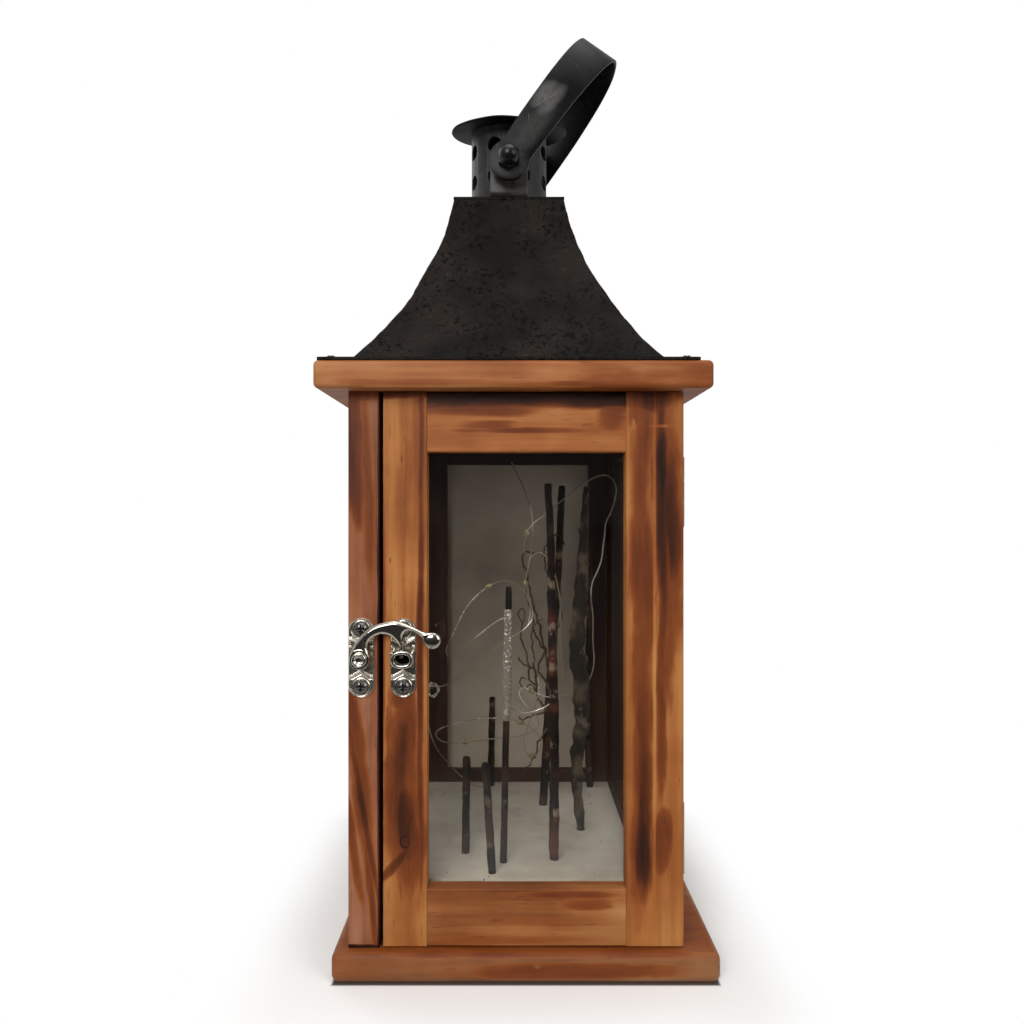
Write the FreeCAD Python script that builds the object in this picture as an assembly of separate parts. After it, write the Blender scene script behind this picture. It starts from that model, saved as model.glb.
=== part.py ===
# Wooden lantern with a hinged glass door, a metal roof and chimney, a carrying bail
# and a lit twig display, in millimetres.
# The origin is on the underside of the base board, below the middle of the case.
# Seen from the door, +X is right, +Y is back and +Z is up.

import FreeCAD, Part
import math
import os

# Shared values
overrun = 1.0  # how far a cut runs past the face that it opens
thread_clearance = 0.05  # round a screw or a lead in its hole
running_clearance = 0.06  # round a pin or a bolt that something turns on
part_gap = 0.15  # between flat faces that slide past each other
tolerance = 0.01  # two places closer than this count as one
PARALLEL = 0.999  # cosine above which an edge counts as running along an axis

# Boards
base_side = 135.0
base_thickness = 10.2
base_edge_radius = 2.6
base_shift_x = 3.4
base_shift_y = 4.5
top_side = 137.0
top_thickness = 9.7
top_edge_radius = 1.8
top_shift_x = -0.9
top_shift_y = 2.1
vent_radius = 14.0

# Case
case_width = 117.6
case_depth = 117.6
case_height = 195.0
panel_thickness = 11.0
right_panel_thickness = 13.0
board_edge_radius = 0.5
window_width = 69.6
window_bottom_rail = 25.8
window_top_rail = 19.5
back_window_place_share = 0.617  # of the back's spare width, left of the back window
glass_thickness = 2.0
glass_clearance = 0.2
groove_depth = 4.0
groove_from_face = 4.4  # from a panel's outer face to the groove

# Door
door_thickness = 9.0
door_left_stile = 15.5
door_right_stile = 20.3
door_bottom_rail = 20.0
door_top_rail = 20.9
door_side_gap = 1.2
door_bottom_gap = 0.6
door_top_gap = 0.4
door_back_gap = 0.4
door_glass_setback = 5.6
tab_length = 6.0
tab_thickness = 0.8
tab_reach = 3.0
stop_width = 3.0
stop_depth = 6.0

# Butt hinges
hinge_height_shares = (0.178, 0.82)  # of the case's height, from its foot
hinge_length = 24.0
hinge_leaf_reach = 9.0
hinge_leaf_thickness = 0.9
hinge_knuckle_radius = 1.7
hinge_pin_radius = 0.8
hinge_pin_outset = 0.6
hinge_pin_head = 0.6
hinge_notch_clearance = 0.25
hinge_screw_spacing = 15.0
hinge_screw_radius = 1.0
hinge_screw_head_radius = 1.9
hinge_screw_head_depth = 0.8
hinge_screw_share = 0.66  # of the solid wood of the right front post behind the leaf

# Case and roof screws
case_screw_radius = 1.5
case_screw_head_radius = 3.4
case_screw_head_depth = 2.4
case_screw_length = 32.0
roof_screw_radius = 1.0
roof_screw_head_radius = 2.1
roof_screw_head_height = 1.2
roof_screw_length = 7.0
screw_tip = 1.6
cross_width = 0.7
cross_depth = 0.6
cross_share = 0.68  # of the head's radius that the cross covers

# Swing hook latch
latch_pivot_inset = 4.7  # from the case's left face
latch_pivot_height = 101.7  # over the case's foot
latch_plate_width = 9.2
latch_plate_height = 28.0
latch_plate_thickness = 0.9
latch_plate_bevel = 0.3
latch_screw_offset = 10.1  # up and down from the middle of a plate
latch_screw_radius = 1.1
latch_screw_head_radius = 2.5
latch_screw_head_height = 1.1
latch_screw_length = 7.0
latch_boss_radius = 3.1
latch_boss_height = 1.45
latch_arm_thickness = 1.8
latch_arm_gap = 0.1
latch_rivet_radius = 1.3
latch_rivet_head_radius = 2.6
latch_rivet_head_height = 1.2
latch_reach = 25.1  # from the pivot to the middle of the knob
latch_rise = 13.3  # from the pivot to the top of the arch
latch_arm_boss_radius = 3.4
latch_knob_radius = 2.8
latch_knob_drop_share = 0.484  # the knob's height over the pivot, of the rise
latch_prong_setback = 0.4
latch_prong_top_share = 0.42  # where the prong steps back, of the rise
catch_place_share = 0.586  # where the catch plate stands, of the reach
catch_pocket_width = 7.2
catch_pocket_height = 6.0
catch_pocket_wall = 0.9
catch_pocket_inside = 3.2
catch_pocket_radius = 2.2
# The arm's outline: shares of the reach and of the rise, from the pivot.
arm_top_shares = (
    (-0.135, 0.0), (-0.100, 0.30), (-0.030, 0.505), (0.070, 0.715), (0.194, 0.872), (0.326, 0.955),
    (0.478, 1.0), (0.580, 0.955), (0.685, 0.880), (0.785, 0.797), (0.857, 0.730), (0.930, 0.705),
    (1.0, 0.692),
)
arm_under_shares = (
    (1.0, 0.275), (0.910, 0.430), (0.850, 0.563), (0.785, 0.658), (0.733, 0.714), (0.670, 0.728),
    (0.614, 0.680), (0.588, 0.563), (0.596, 0.387), (0.604, 0.253), (0.602, 0.040),
)
arm_inner_shares = (
    (0.546, 0.040), (0.552, 0.253), (0.530, 0.387), (0.478, 0.505), (0.418, 0.600), (0.326, 0.650),
    (0.234, 0.615), (0.158, 0.524), (0.120, 0.426), (0.106, 0.310), (0.118, 0.177), (0.135, 0.0),
)

# Roof
roof_shift_x = -2.5
sheet = 1.0
roof_brim_half = 65.8
roof_foot_half = 57.3
roof_neck_half = 22.1
roof_neck_height = 72.5
roof_sag = 5.1  # how far the slope bows in from its chord
roof_plate_thickness = 1.2
roof_screw_inset = 4.2

# Chimney
chimney_radius = 15.9
chimney_wall = 0.9
chimney_height = 36.6
chimney_seat = 1.6  # how much larger the tube's bore is than the hole in the plate
chimney_hole_radius = 3.0
chimney_hole_rows = (12.1, 24.7)  # above the roof plate
chimney_holes_per_row = 8
cap_radius = 24.4
cap_tilt = 9.0  # degrees, its front edge low

# Bail, its brackets and bolts
bail_pivot_rise = 12.4  # above the roof plate
bail_reach = 27.4  # from the middle to the outside of an ear
bail_length = 68.0  # from the pivot to the outside of the loop's end
bail_strap = 1.2
bail_exponent = 2.46
bail_steps = 28
bail_ear_radius = 8.0
bail_root_width = 13.0
bail_end_width = 16.5
bail_lean = 35.0  # degrees to the right
bracket_width = 15.0
bracket_thickness = 1.2
bracket_bend_radius = 2.2
bracket_foot = 5.4
bracket_face = 22.0  # from the middle to a bracket's outer face
bolt_radius = 2.5
bolt_head_radius = 4.4
bolt_head_height = 2.0
bolt_end = 4.4  # how far the bolt runs out past the ear
nut_across_flats = 8.0
cap_nut_height = 7.2
cap_nut_hex_height = 3.4
ear_gap = 0.15

# Floor bed and twigs
bed_thickness = 20.2
bed_gap = 0.3
twig_radius = 1.3
thick_twig_radius = 2.0
twig_depth = 9.0  # how deep a twig stands in the bed
twig_clearance = 0.1
lead_hole_radius = 0.7

# Light string
wire_radius = 0.3
run_share = 0.45  # of the shorter run that an arc takes
drop_radius = 1.15
bundle_radius = 2.3
bundle_stretch = 1.25
bundle_count = 15
bundle_steps = 6
bundle_pitch = 1.25
bundle_centre = (-33.7, -11.0, 89.2)
wrap_radius = 2.75
wrap_turns = 7
wrap_steps = 4
wrap_top = 123.0
wrap_bottom = 90.0
wrap_start_angle = 120.0
least_wire_gap = 0.4

# Battery box
box_left_space = 7.8  # from the case's inner left face
box_place_share = 0.713  # of the case's spare depth, in front of the box
lead_inset = 4.0  # from the box's right and rear faces to the light string
box_width = 32.0
switch_room = 12.8  # inside the box, in front of the cells
box_height = 16.8
box_wall = 1.4
cover_overlap = 2.0
cover_thickness = 1.6
cover_recess = 1.0  # from the base's underside to the cover
cover_gap = 0.25
cell_radius = 7.1
cell_length = 49.2
cell_button_radius = 2.7
cell_button_height = 1.2
contact_size = 9.0
contact_thickness = 0.4
spring_radius = 3.2
spring_length = 3.0
switch_travel = 3.0
switch_knob_length = 4.0
switch_knob_width = 3.0
switch_slider_length = 7.0
switch_slider_width = 5.0
switch_slider_height = 2.4
switch_recess = 0.4  # from the base's underside to the knob

# Levels and places that follow from the sizes
case_bottom = base_thickness
case_top = case_bottom + case_height
roof_base = case_top + top_thickness
plate_top = roof_base + roof_neck_height + roof_plate_thickness
pivot_z = plate_top + bail_pivot_rise
front = -case_depth / 2
back = case_depth / 2
left = -case_width / 2
right = case_width / 2
inside_left = left + panel_thickness
inside_right = right - right_panel_thickness
inside_back = back - panel_thickness
inside_front = front + door_thickness + door_back_gap
latch_pivot_x = left + latch_pivot_inset
latch_pivot_z = case_bottom + latch_pivot_height
catch_plate_x = latch_pivot_x + catch_place_share * latch_reach
side_post = (case_depth - window_width) / 2
right_post = back - inside_front - window_width - side_post
hinge_screw_length = hinge_screw_share * (right_post - groove_depth)
box_x = inside_left + box_left_space
cell_space = cell_length + 2 * contact_thickness + spring_length
box_length = 3 * box_wall + switch_room + cell_space
box_y = inside_front + box_place_share * (inside_back - inside_front - box_length)
lead_x = box_x + box_width - lead_inset
lead_y = box_y + box_length - lead_inset
bed_top = case_bottom + bed_thickness

# Twigs: where each stands and how it runs, from the foot to the tip, chosen by hand as shares of the room
# over the bed: across it, from front to back, and up.
short_twig_shares = (
    ((0.304, 0.213, 0.000), (0.308, 0.213, 0.212)),
    ((0.418, 0.046, 0.000), (0.392, 0.046, 0.230)),
    ((0.390, 0.950, 0.000), (0.397, 0.950, 0.244)),
)
wrapped_twig_shares = ((0.462, 0.130, 0.000), (0.484, 0.130, 0.596))
tall_twig_shares = (
    (0.666, 0.157, 0.000), (0.670, 0.157, 0.181), (0.667, 0.155, 0.370), (0.658, 0.158, 0.524),
    (0.655, 0.157, 0.684), (0.643, 0.157, 0.820),
)
leaning_twig_shares = (
    (0.649, 0.706, 0.000), (0.682, 0.706, 0.318), (0.719, 0.708, 0.581), (0.740, 0.706, 0.825),
)
knotty_twig_shares = (
    (0.803, 0.436, 0.000), (0.787, 0.436, 0.140), (0.808, 0.434, 0.295), (0.787, 0.436, 0.427),
    (0.803, 0.438, 0.547), (0.816, 0.436, 0.684), (0.830, 0.436, 0.817),
)
back_twig_shares = (
    (0.899, 0.935, 0.000), (0.887, 0.935, 0.160), (0.892, 0.935, 0.348), (0.902, 0.935, 0.514),
)
# The light string's route, chosen by hand, from the battery box to its free end.
route_to_bundle = (
    (lead_x, lead_y, 17.0), (lead_x, lead_y, 24.5), (lead_x - 0.1, lead_y - 0.4, 31.2), (-15.0, 33.8, 33.4),
    (-18.4, 30.6, 34.2), (-23.0, 25.0, 39.6), (-29.6, 17.2, 49.2), (-34.9, 7.2, 60.0),
    (-37.1, -0.8, 71.9), (-37.2, -6.4, 80.6),
)
route_to_wrap = (
    (-28.8, -13.0, 91.4), (-24.6, -12.2, 93.9), (-20.2, -12.4, 98.6), (-14.8, -13.8, 101.8),
    (-9.8, -16.8, 106.4), (-4.9, -18.8, 110.4), (0.3, -18.8, 113.2), (4.7, -18.8, 116.5),
    (7.6, -17.8, 120.3), (6.0, -17.8, 125.6), (3.9, -18.8, 131.0), (-0.1, -19.8, 134.3),
    (-5.3, -20.8, 135.6), (-10.5, -22.8, 133.4), (-14.8, -22.8, 130.2), (-19.3, -21.8, 125.3),
    (-22.5, -20.8, 119.2), (-25.3, -20.8, 112.8), (-27.9, -22.8, 107.9), (-26.1, -25.8, 105.3),
    (-20.9, -26.8, 109.1), (-14.6, -28.2, 114.6), (-8.8, -30.4, 119.6),
)
route_to_tip = (
    (-0.9, -29.4, 86.2), (3.4, -26.6, 83.7), (8.9, -25.8, 84.9), (13.5, -26.0, 87.2), (18.0, -28.6, 92.0),
    (18.6, -30.0, 102.0), (17.2, -29.0, 113.0), (17.9, -28.6, 124.5), (16.4, -28.2, 136.0),
    (13.0, -27.4, 144.6), (9.5, -26.0, 147.6), (6.9, -25.0, 145.0), (4.2, -25.2, 145.3),
    (3.0, -26.2, 148.2), (3.8, -27.2, 151.2), (4.2, -28.0, 154.8), (7.0, -27.8, 158.6),
    (11.0, -26.0, 161.2), (15.2, -20.6, 164.5), (20.5, -12.0, 168.5), (26.0, -2.6, 172.4),
    (32.0, 3.0, 176.5), (38.3, 6.6, 179.3), (42.6, 7.0, 177.6), (44.2, 5.2, 173.3), (43.3, 3.2, 168.3),
    (41.5, 3.0, 162.6), (39.2, 4.8, 158.2), (39.3, 7.0, 153.2), (38.6, 8.0, 147.8), (38.3, 9.0, 142.2),
    (36.6, 10.0, 136.8), (34.0, 11.0, 131.6), (33.5, 11.2, 125.2), (34.8, 11.0, 116.2),
    (34.2, 10.0, 106.0), (35.2, 9.0, 96.2), (32.4, 7.0, 88.6), (26.6, 3.4, 85.2), (20.0, -0.6, 84.0),
    (13.5, -3.0, 84.2), (7.2, -5.0, 87.2), (3.2, -7.2, 90.0), (1.2, -9.0, 87.4), (4.0, -9.4, 83.0),
    (8.5, -9.0, 78.8), (10.6, -9.2, 74.2), (6.8, -10.0, 71.2), (1.0, -11.0, 70.0), (-6.0, -11.4, 69.7),
    (-13.0, -11.0, 68.8), (-20.5, -9.2, 67.3), (-26.5, -6.4, 65.7), (-31.8, -3.4, 65.9),
    (-34.3, -0.8, 68.2), (-31.8, 1.2, 70.2), (-26.5, 1.2, 71.7), (-19.0, 0.2, 74.0), (-12.0, -2.0, 75.3),
    (-4.5, -3.2, 75.6), (2.5, -4.0, 74.3), (8.2, -4.2, 71.0), (11.6, -3.2, 66.4), (10.8, -1.8, 60.8),
    (7.3, 0.2, 58.0), (4.2, 3.6, 59.4), (4.2, 7.2, 64.2), (6.5, 9.2, 70.8), (9.5, 9.0, 78.6),
    (10.8, 7.2, 87.4), (9.0, 5.2, 96.4), (6.2, 3.0, 105.2), (5.2, 1.0, 113.2), (6.8, -1.2, 120.0),
    (6.4, -3.2, 126.5), (4.2, -4.2, 132.2), (5.3, -4.0, 138.2), (7.0, -3.2, 145.6), (7.7, -2.2, 154.0),
    (7.3, -1.2, 162.4), (5.0, -0.8, 170.2), (2.2, 0.0, 176.6), (-1.5, 1.0, 184.0),
)
# Which points of the last two stretches carry a light drop, as shares of the stretch's points.
drop_shares_to_wrap = (0.591,)
drop_shares_to_tip = (0.183, 0.463, 0.5, 0.622, 0.732, 0.78, 0.915)

X = FreeCAD.Vector(1, 0, 0)
Y = FreeCAD.Vector(0, 1, 0)
Z = FreeCAD.Vector(0, 0, 1)
ORIGIN = FreeCAD.Vector(0, 0, 0)
parts = {}


def block(x0, x1, y0, y1, z0, z1):
    """A box between two corners."""
    return Part.makeBox(x1 - x0, y1 - y0, z1 - z0, FreeCAD.Vector(x0, y0, z0))


def rod(radius, start, end):
    """A round bar between two points."""
    start = FreeCAD.Vector(*start)
    way = FreeCAD.Vector(*end) - start
    return Part.makeCylinder(radius, way.Length, start, way)


def eased(shape, radius, *axes):
    """The shape with its straight edges along the given axes rounded, or all its edges."""
    edges = shape.Edges
    if axes:
        edges = [e for e in edges if any(abs(e.tangentAt(e.FirstParameter).dot(a)) > PARALLEL for a in axes)]
    return shape.makeFillet(radius, edges)


def group(shapes):
    """Separate solids in one node."""
    return Part.makeCompound(shapes)


def slab(wire, way):
    """A closed wire filled and drawn out along a vector."""
    return Part.Face(wire).extrude(way)


def polygon(points):
    """A closed wire of straight lines."""
    return Part.makePolygon([*points, points[0]])


def spline(points):
    """An edge through the points."""
    curve = Part.BSplineCurve()
    curve.interpolate(points)
    return curve.toShape()


def line(a, b):
    """A straight edge."""
    return Part.LineSegment(a, b).toShape()


def aimed(shape, at, way):
    """A shape made along +Z from the origin, turned along a vector and moved to a point."""
    placed = shape.copy()
    placed.Placement = FreeCAD.Placement(FreeCAD.Vector(*at), FreeCAD.Rotation(Z, way))
    return placed


def turned(points):
    """A solid of revolution about Z from (radius, height) pairs."""
    wire = polygon([FreeCAD.Vector(r, 0, h) for r, h in points])
    return Part.Face(wire).revolve(ORIGIN, Z, 360)


def cross_cut(head_radius, level, way):
    """The cross in a screw's head, cut from a level on Z towards way, +1 or -1."""
    reach = head_radius * cross_share
    half = cross_width / 2
    low, high = sorted((level - way * overrun, level + way * cross_depth))
    return block(-reach, reach, -half, half, low, high).fuse(block(-half, half, -reach, reach, low, high))


def pan_screw(radius, head_radius, head_height, length):
    """A screw with a domed head below the origin and a shank along +Z."""
    shank = turned(((0, 0), (radius, 0), (radius, length - screw_tip), (0, length)))
    rim = FreeCAD.Vector(head_radius, 0, 0)
    crown = FreeCAD.Vector(0, 0, -head_height)
    half_way = FreeCAD.Vector(head_radius * math.sin(math.pi / 4), 0, -head_height * math.cos(math.pi / 4))
    dome_wire = Part.Wire([line(ORIGIN, crown), Part.Arc(crown, half_way, rim).toShape(), line(rim, ORIGIN)])
    dome = Part.Face(dome_wire).revolve(ORIGIN, Z, 360)
    return dome.fuse(shank).removeSplitter().cut(cross_cut(head_radius, -head_height, 1))


def flush_screw(radius, head_radius, head_depth, length):
    """A countersunk screw whose head starts at the origin and whose shank runs along +Z."""
    outline = ((0, 0), (head_radius, 0), (radius, head_depth), (radius, length - screw_tip), (0, length))
    return turned(outline).cut(cross_cut(head_radius, 0, 1))


def flush_hole(radius, head_radius, head_depth, length):
    """The hole that a countersunk screw fills."""
    r = radius + thread_clearance
    outline = (
        (0, -overrun), (head_radius, -overrun), (head_radius, 0), (r, head_depth), (r, length), (0, length),
    )
    return turned(outline)


def framed_panel(width, height, thickness, stiles, rails, groove):
    """Two uprights and two rails round a window, with a groove for the glass.

    The outer face is on y = 0 and the lower left corner at the origin. Returns the left upright, the right
    upright, the bottom rail, the top rail and the glass.
    """
    left_stile, right_stile = stiles
    bottom_rail, top_rail = rails
    slot = block(
        left_stile - groove_depth, width - right_stile + groove_depth, groove[0], groove[1],
        bottom_rail - groove_depth, height - top_rail + groove_depth,
    )
    boards = [
        eased(block(0, left_stile, 0, thickness, 0, height), board_edge_radius, Z),
        eased(block(width - right_stile, width, 0, thickness, 0, height), board_edge_radius, Z),
        eased(block(left_stile, width - right_stile, 0, thickness, 0, bottom_rail), board_edge_radius, X),
        eased(
            block(left_stile, width - right_stile, 0, thickness, height - top_rail, height),
            board_edge_radius, X,
        ),
    ]
    glass = block(
        left_stile - groove_depth + glass_clearance, width - right_stile + groove_depth - glass_clearance,
        groove[0] + part_gap, groove[0] + part_gap + glass_thickness,
        bottom_rail - groove_depth, height - top_rail + groove_depth - glass_clearance,
    )
    return [board.cut(slot) for board in boards] + [glass]


def placed(shapes, angle, at):
    """Shapes turned about Z and moved."""
    return [s.rotated(ORIGIN, Z, angle).translated(FreeCAD.Vector(*at)) for s in shapes]


def pipe(points, radius):
    """A round tube along straight runs joined by tangent arcs, with its least bend radius and its length."""
    corners = [FreeCAD.Vector(*p) for p in points]
    edges = []
    last = corners[0]
    tightest = math.inf
    for before, corner, after in zip(corners, corners[1:], corners[2:]):
        to_before = (before - corner).normalize()
        to_after = (after - corner).normalize()
        half_angle = to_before.getAngle(to_after) / 2
        reach = run_share * min((before - corner).Length, (after - corner).Length)
        bend = reach * math.tan(half_angle)
        middle = (to_before + to_after).normalize()
        start = corner + to_before * reach
        end = corner + to_after * reach
        on_arc = corner + middle * (reach / math.cos(half_angle) - bend)
        edges += [line(last, start), Part.Arc(start, on_arc, end).toShape()]
        last = end
        tightest = min(tightest, bend)
    edges.append(line(last, corners[-1]))
    path = Part.Wire(edges)
    ring = Part.Wire(Part.makeCircle(radius, corners[0], corners[1] - corners[0]))
    tube = path.makePipeShell([ring], True, False)
    return tube, tightest, path


def report_pipe(name, tube, radius, tightest, path):
    """Prints a tube's length, its tightest bend and how its volume compares with section times length."""
    share = tube.Volume / (math.pi * radius ** 2 * path.Length)
    print(f"{name}: length {path.Length:.0f}, tightest bend {tightest:.2f}, volume share {share:.3f}")


def build_boards():
    """The base and top boards with their screw holes, the cover's recess and the vent hole."""
    base = eased(
        block(
            base_shift_x - base_side / 2, base_shift_x + base_side / 2,
            base_shift_y - base_side / 2, base_shift_y + base_side / 2, 0, base_thickness,
        ), base_edge_radius,
    )
    top = eased(
        block(
            top_shift_x - top_side / 2, top_shift_x + top_side / 2,
            top_shift_y - top_side / 2, top_shift_y + top_side / 2, case_top, roof_base,
        ), top_edge_radius,
    )
    vent = rod(
        vent_radius, (roof_shift_x, 0, case_top - overrun), (roof_shift_x, 0, roof_base + overrun),
    )
    top = top.cut(vent)
    cuts = ((0, base_thickness + overrun), (cover_overlap, cover_recess + cover_thickness))
    for widening, top_of_cut in cuts:
        margin = cover_gap + widening
        base = base.cut(
            block(
                box_x - margin, box_x + box_width + margin, box_y - margin, box_y + box_length + margin,
                -overrun, top_of_cut,
            )
        )
    parts["base_board"] = base
    parts["top_board"] = top


def build_case():
    """The left, right and back frames with their glass, and the door's stop."""
    rails = (window_bottom_rail, window_top_rail)
    groove = (groove_from_face - part_gap, groove_from_face + glass_thickness + part_gap)
    left_panel = placed(
        framed_panel(case_depth, case_height, panel_thickness, (side_post, side_post), rails, groove),
        -90, (left, back, case_bottom),
    )
    names = ("left_rear_post", "left_front_post", "left_bottom_rail", "left_top_rail", "left_glass")
    parts.update(zip(names, left_panel))
    right_panel = placed(
        framed_panel(
            back - inside_front, case_height, right_panel_thickness, (right_post, side_post), rails, groove,
        ), 90, (right, inside_front, case_bottom),
    )
    names = ("right_front_post", "right_rear_post", "right_bottom_rail", "right_top_rail", "right_glass")
    parts.update(zip(names, right_panel))
    back_width = inside_right - inside_left
    spare_width = back_width - window_width
    left_stile = back_window_place_share * spare_width
    back_panel = placed(
        framed_panel(
            back_width, case_height, panel_thickness,
            (spare_width - left_stile, left_stile), rails, groove,
        ), 180, (inside_right, back, case_bottom),
    )
    names = ("back_right_stile", "back_left_stile", "back_bottom_rail", "back_top_rail", "back_glass")
    parts.update(zip(names, back_panel))
    parts["door_stop"] = block(
        inside_left, inside_left + stop_width, inside_front, inside_front + stop_depth, bed_top, case_top,
    )


def build_door():
    """The door's frame, glass and glazing tabs."""
    x = inside_left + door_side_gap
    width = right - x
    z = case_bottom + door_bottom_gap
    height = case_height - door_bottom_gap - door_top_gap
    groove = (door_glass_setback, door_thickness + overrun)
    boards = framed_panel(
        width, height, door_thickness, (door_left_stile, door_right_stile),
        (door_bottom_rail, door_top_rail), groove,
    )
    names = ("door_left_stile", "door_right_stile", "door_bottom_rail", "door_top_rail", "door_glass")
    parts.update(zip(names, placed(boards, 0, (x, front, z))))
    rebate_left = x + door_left_stile - groove_depth
    rebate_right = right - door_right_stile + groove_depth
    rebate_bottom = z + door_bottom_rail - groove_depth
    rebate_top = z + height - door_top_rail + groove_depth
    tab_front = front + door_glass_setback + part_gap + glass_thickness + part_gap
    tab_back = tab_front + tab_thickness
    half = tab_length / 2
    tabs = []
    for share in (1 / 4, 3 / 4):
        mid_x = rebate_left + (rebate_right - rebate_left) * share
        mid_z = rebate_bottom + (rebate_top - rebate_bottom) * share
        spans = (
            (rebate_left, rebate_left + tab_reach, mid_z - half, mid_z + half),
            (rebate_right - tab_reach, rebate_right, mid_z - half, mid_z + half),
            (mid_x - half, mid_x + half, rebate_bottom, rebate_bottom + tab_reach),
            (mid_x - half, mid_x + half, rebate_top - tab_reach, rebate_top),
        )
        tabs += [block(x0, x1, tab_front, tab_back, z0, z1) for x0, x1, z0, z1 in spans]
    parts["door_glazing_tabs"] = group(tabs)


def hinge_leaf(z, on_door):
    """One leaf of a hinge with its knuckles, at rest."""
    door_face = front + door_thickness
    axis_x = right + hinge_pin_outset
    axis_y = door_face + door_back_gap / 2
    low = z - hinge_length / 2
    high = z + hinge_length / 2
    third = hinge_length / 3
    y0 = door_face - hinge_leaf_thickness if on_door else inside_front
    y1 = door_face if on_door else inside_front + hinge_leaf_thickness
    leaf = block(right - hinge_leaf_reach, axis_x, y0, y1, low, high)
    own = [(low + third, high - third)] if on_door else [(low, low + third), (high - third, high)]
    others = [(low, low + third), (high - third, high)] if on_door else [(low + third, high - third)]
    for z0, z1 in others:
        leaf = leaf.cut(
            rod(
                hinge_knuckle_radius + hinge_notch_clearance,
                (axis_x, axis_y, z0 - part_gap), (axis_x, axis_y, z1 + part_gap),
            )
        )
    inset = part_gap / 2
    for z0, z1 in own:
        start = z0 if z0 == low else z0 + inset
        end = z1 if z1 == high else z1 - inset
        leaf = leaf.fuse(rod(hinge_knuckle_radius, (axis_x, axis_y, start), (axis_x, axis_y, end)))
    bore = hinge_pin_radius + (running_clearance if on_door else 0)
    leaf = leaf.cut(rod(bore, (axis_x, axis_y, low - overrun), (axis_x, axis_y, high + overrun)))
    return leaf.removeSplitter()


def build_hinges():
    """Both hinges: leaves, pins and screws, with their recesses in the wood."""
    door_face = front + door_thickness
    axis_x = right + hinge_pin_outset
    axis_y = door_face + door_back_gap / 2
    screw_x = right - (hinge_leaf_reach + hinge_knuckle_radius) / 2
    sizes = (hinge_screw_radius, hinge_screw_head_radius, hinge_screw_head_depth, hinge_screw_length)
    frame_leaves, door_leaves, pins, frame_screws, door_screws = [], [], [], [], []
    for share in hinge_height_shares:
        z = case_bottom + share * case_height
        low = z - hinge_length / 2
        high = z + hinge_length / 2
        frame_leaf = hinge_leaf(z, False)
        door_leaf = hinge_leaf(z, True)
        barrel_low = low - part_gap - hinge_pin_head
        barrel_high = high + part_gap + hinge_pin_head
        barrel_space = rod(
            hinge_knuckle_radius + hinge_notch_clearance,
            (axis_x, axis_y, barrel_low), (axis_x, axis_y, barrel_high),
        )
        leaf_edge = right - hinge_leaf_reach
        door_recess = block(
            leaf_edge, right + overrun, door_face - hinge_leaf_thickness, door_face + overrun, low, high,
        )
        post_recess = block(
            leaf_edge, right + overrun, inside_front - overrun, inside_front + hinge_leaf_thickness,
            low, high,
        )
        parts["door_right_stile"] = parts["door_right_stile"].cut(door_recess).cut(barrel_space)
        parts["right_front_post"] = parts["right_front_post"].cut(post_recess).cut(barrel_space)
        for side in (-1, 1):
            screw_z = z + side * hinge_screw_spacing / 2
            for into, leaf_face, screws in ((Y, inside_front, frame_screws), (-Y, door_face, door_screws)):
                at = (screw_x, leaf_face, screw_z)
                screws.append(aimed(flush_screw(*sizes), at, into))
                hole = aimed(flush_hole(*sizes), at, into)
                if into == Y:
                    frame_leaf = frame_leaf.cut(hole)
                    parts["right_front_post"] = parts["right_front_post"].cut(hole)
                else:
                    door_leaf = door_leaf.cut(hole)
                    parts["door_right_stile"] = parts["door_right_stile"].cut(hole)
        head_low = low - hinge_pin_head
        head_high = high + hinge_pin_head
        pin = rod(hinge_pin_radius, (axis_x, axis_y, head_low), (axis_x, axis_y, head_high))
        for z0, z1 in ((head_low, low), (high, head_high)):
            pin = pin.fuse(rod(hinge_knuckle_radius, (axis_x, axis_y, z0), (axis_x, axis_y, z1)))
        pins.append(pin.removeSplitter())
        frame_leaves.append(frame_leaf)
        door_leaves.append(door_leaf)
    parts["hinge_frame_leaves"] = group(frame_leaves)
    parts["hinge_door_leaves"] = group(door_leaves)
    parts["hinge_pins"] = group(pins)
    parts["hinge_frame_screws"] = group(frame_screws)
    parts["hinge_door_screws"] = group(door_screws)


def build_case_screws():
    """Countersunk screws through the boards into the four posts."""
    sizes = (case_screw_radius, case_screw_head_radius, case_screw_head_depth, case_screw_length)
    screws = []
    post_middle = front + side_post / 2
    places = (
        ("left_front_post", left + panel_thickness / 2, post_middle),
        ("left_rear_post", left + panel_thickness / 2, -post_middle),
        ("right_front_post", right - right_panel_thickness / 2, (inside_front - window_width / 2) / 2),
        ("right_rear_post", right - right_panel_thickness / 2, -post_middle),
    )
    for post, x, y in places:
        for board, z, way in (("base_board", 0, Z), ("top_board", roof_base, -Z)):
            screws.append(aimed(flush_screw(*sizes), (x, y, z), way))
            hole = aimed(flush_hole(*sizes), (x, y, z), way)
            parts[board] = parts[board].cut(hole)
            parts[post] = parts[post].cut(hole)
    parts["case_screws"] = group(screws)


def latch_plate(x, z):
    """A latch plate with rounded ends and a bevelled face, its back on the wood's face."""
    radius = latch_plate_width / 2
    straight = latch_plate_height / 2 - radius
    face_y = front - latch_plate_thickness
    plate = block(x - radius, x + radius, face_y, front, z - straight, z + straight)
    for side in (-1, 1):
        end = z + side * straight
        plate = plate.fuse(rod(radius, (x, front, end), (x, face_y, end)))
    plate = plate.removeSplitter()
    rim = [e for e in plate.Edges if all(abs(v.Point.y - face_y) < tolerance for v in e.Vertexes)]
    return plate.makeChamfer(latch_plate_bevel, rim)


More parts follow.
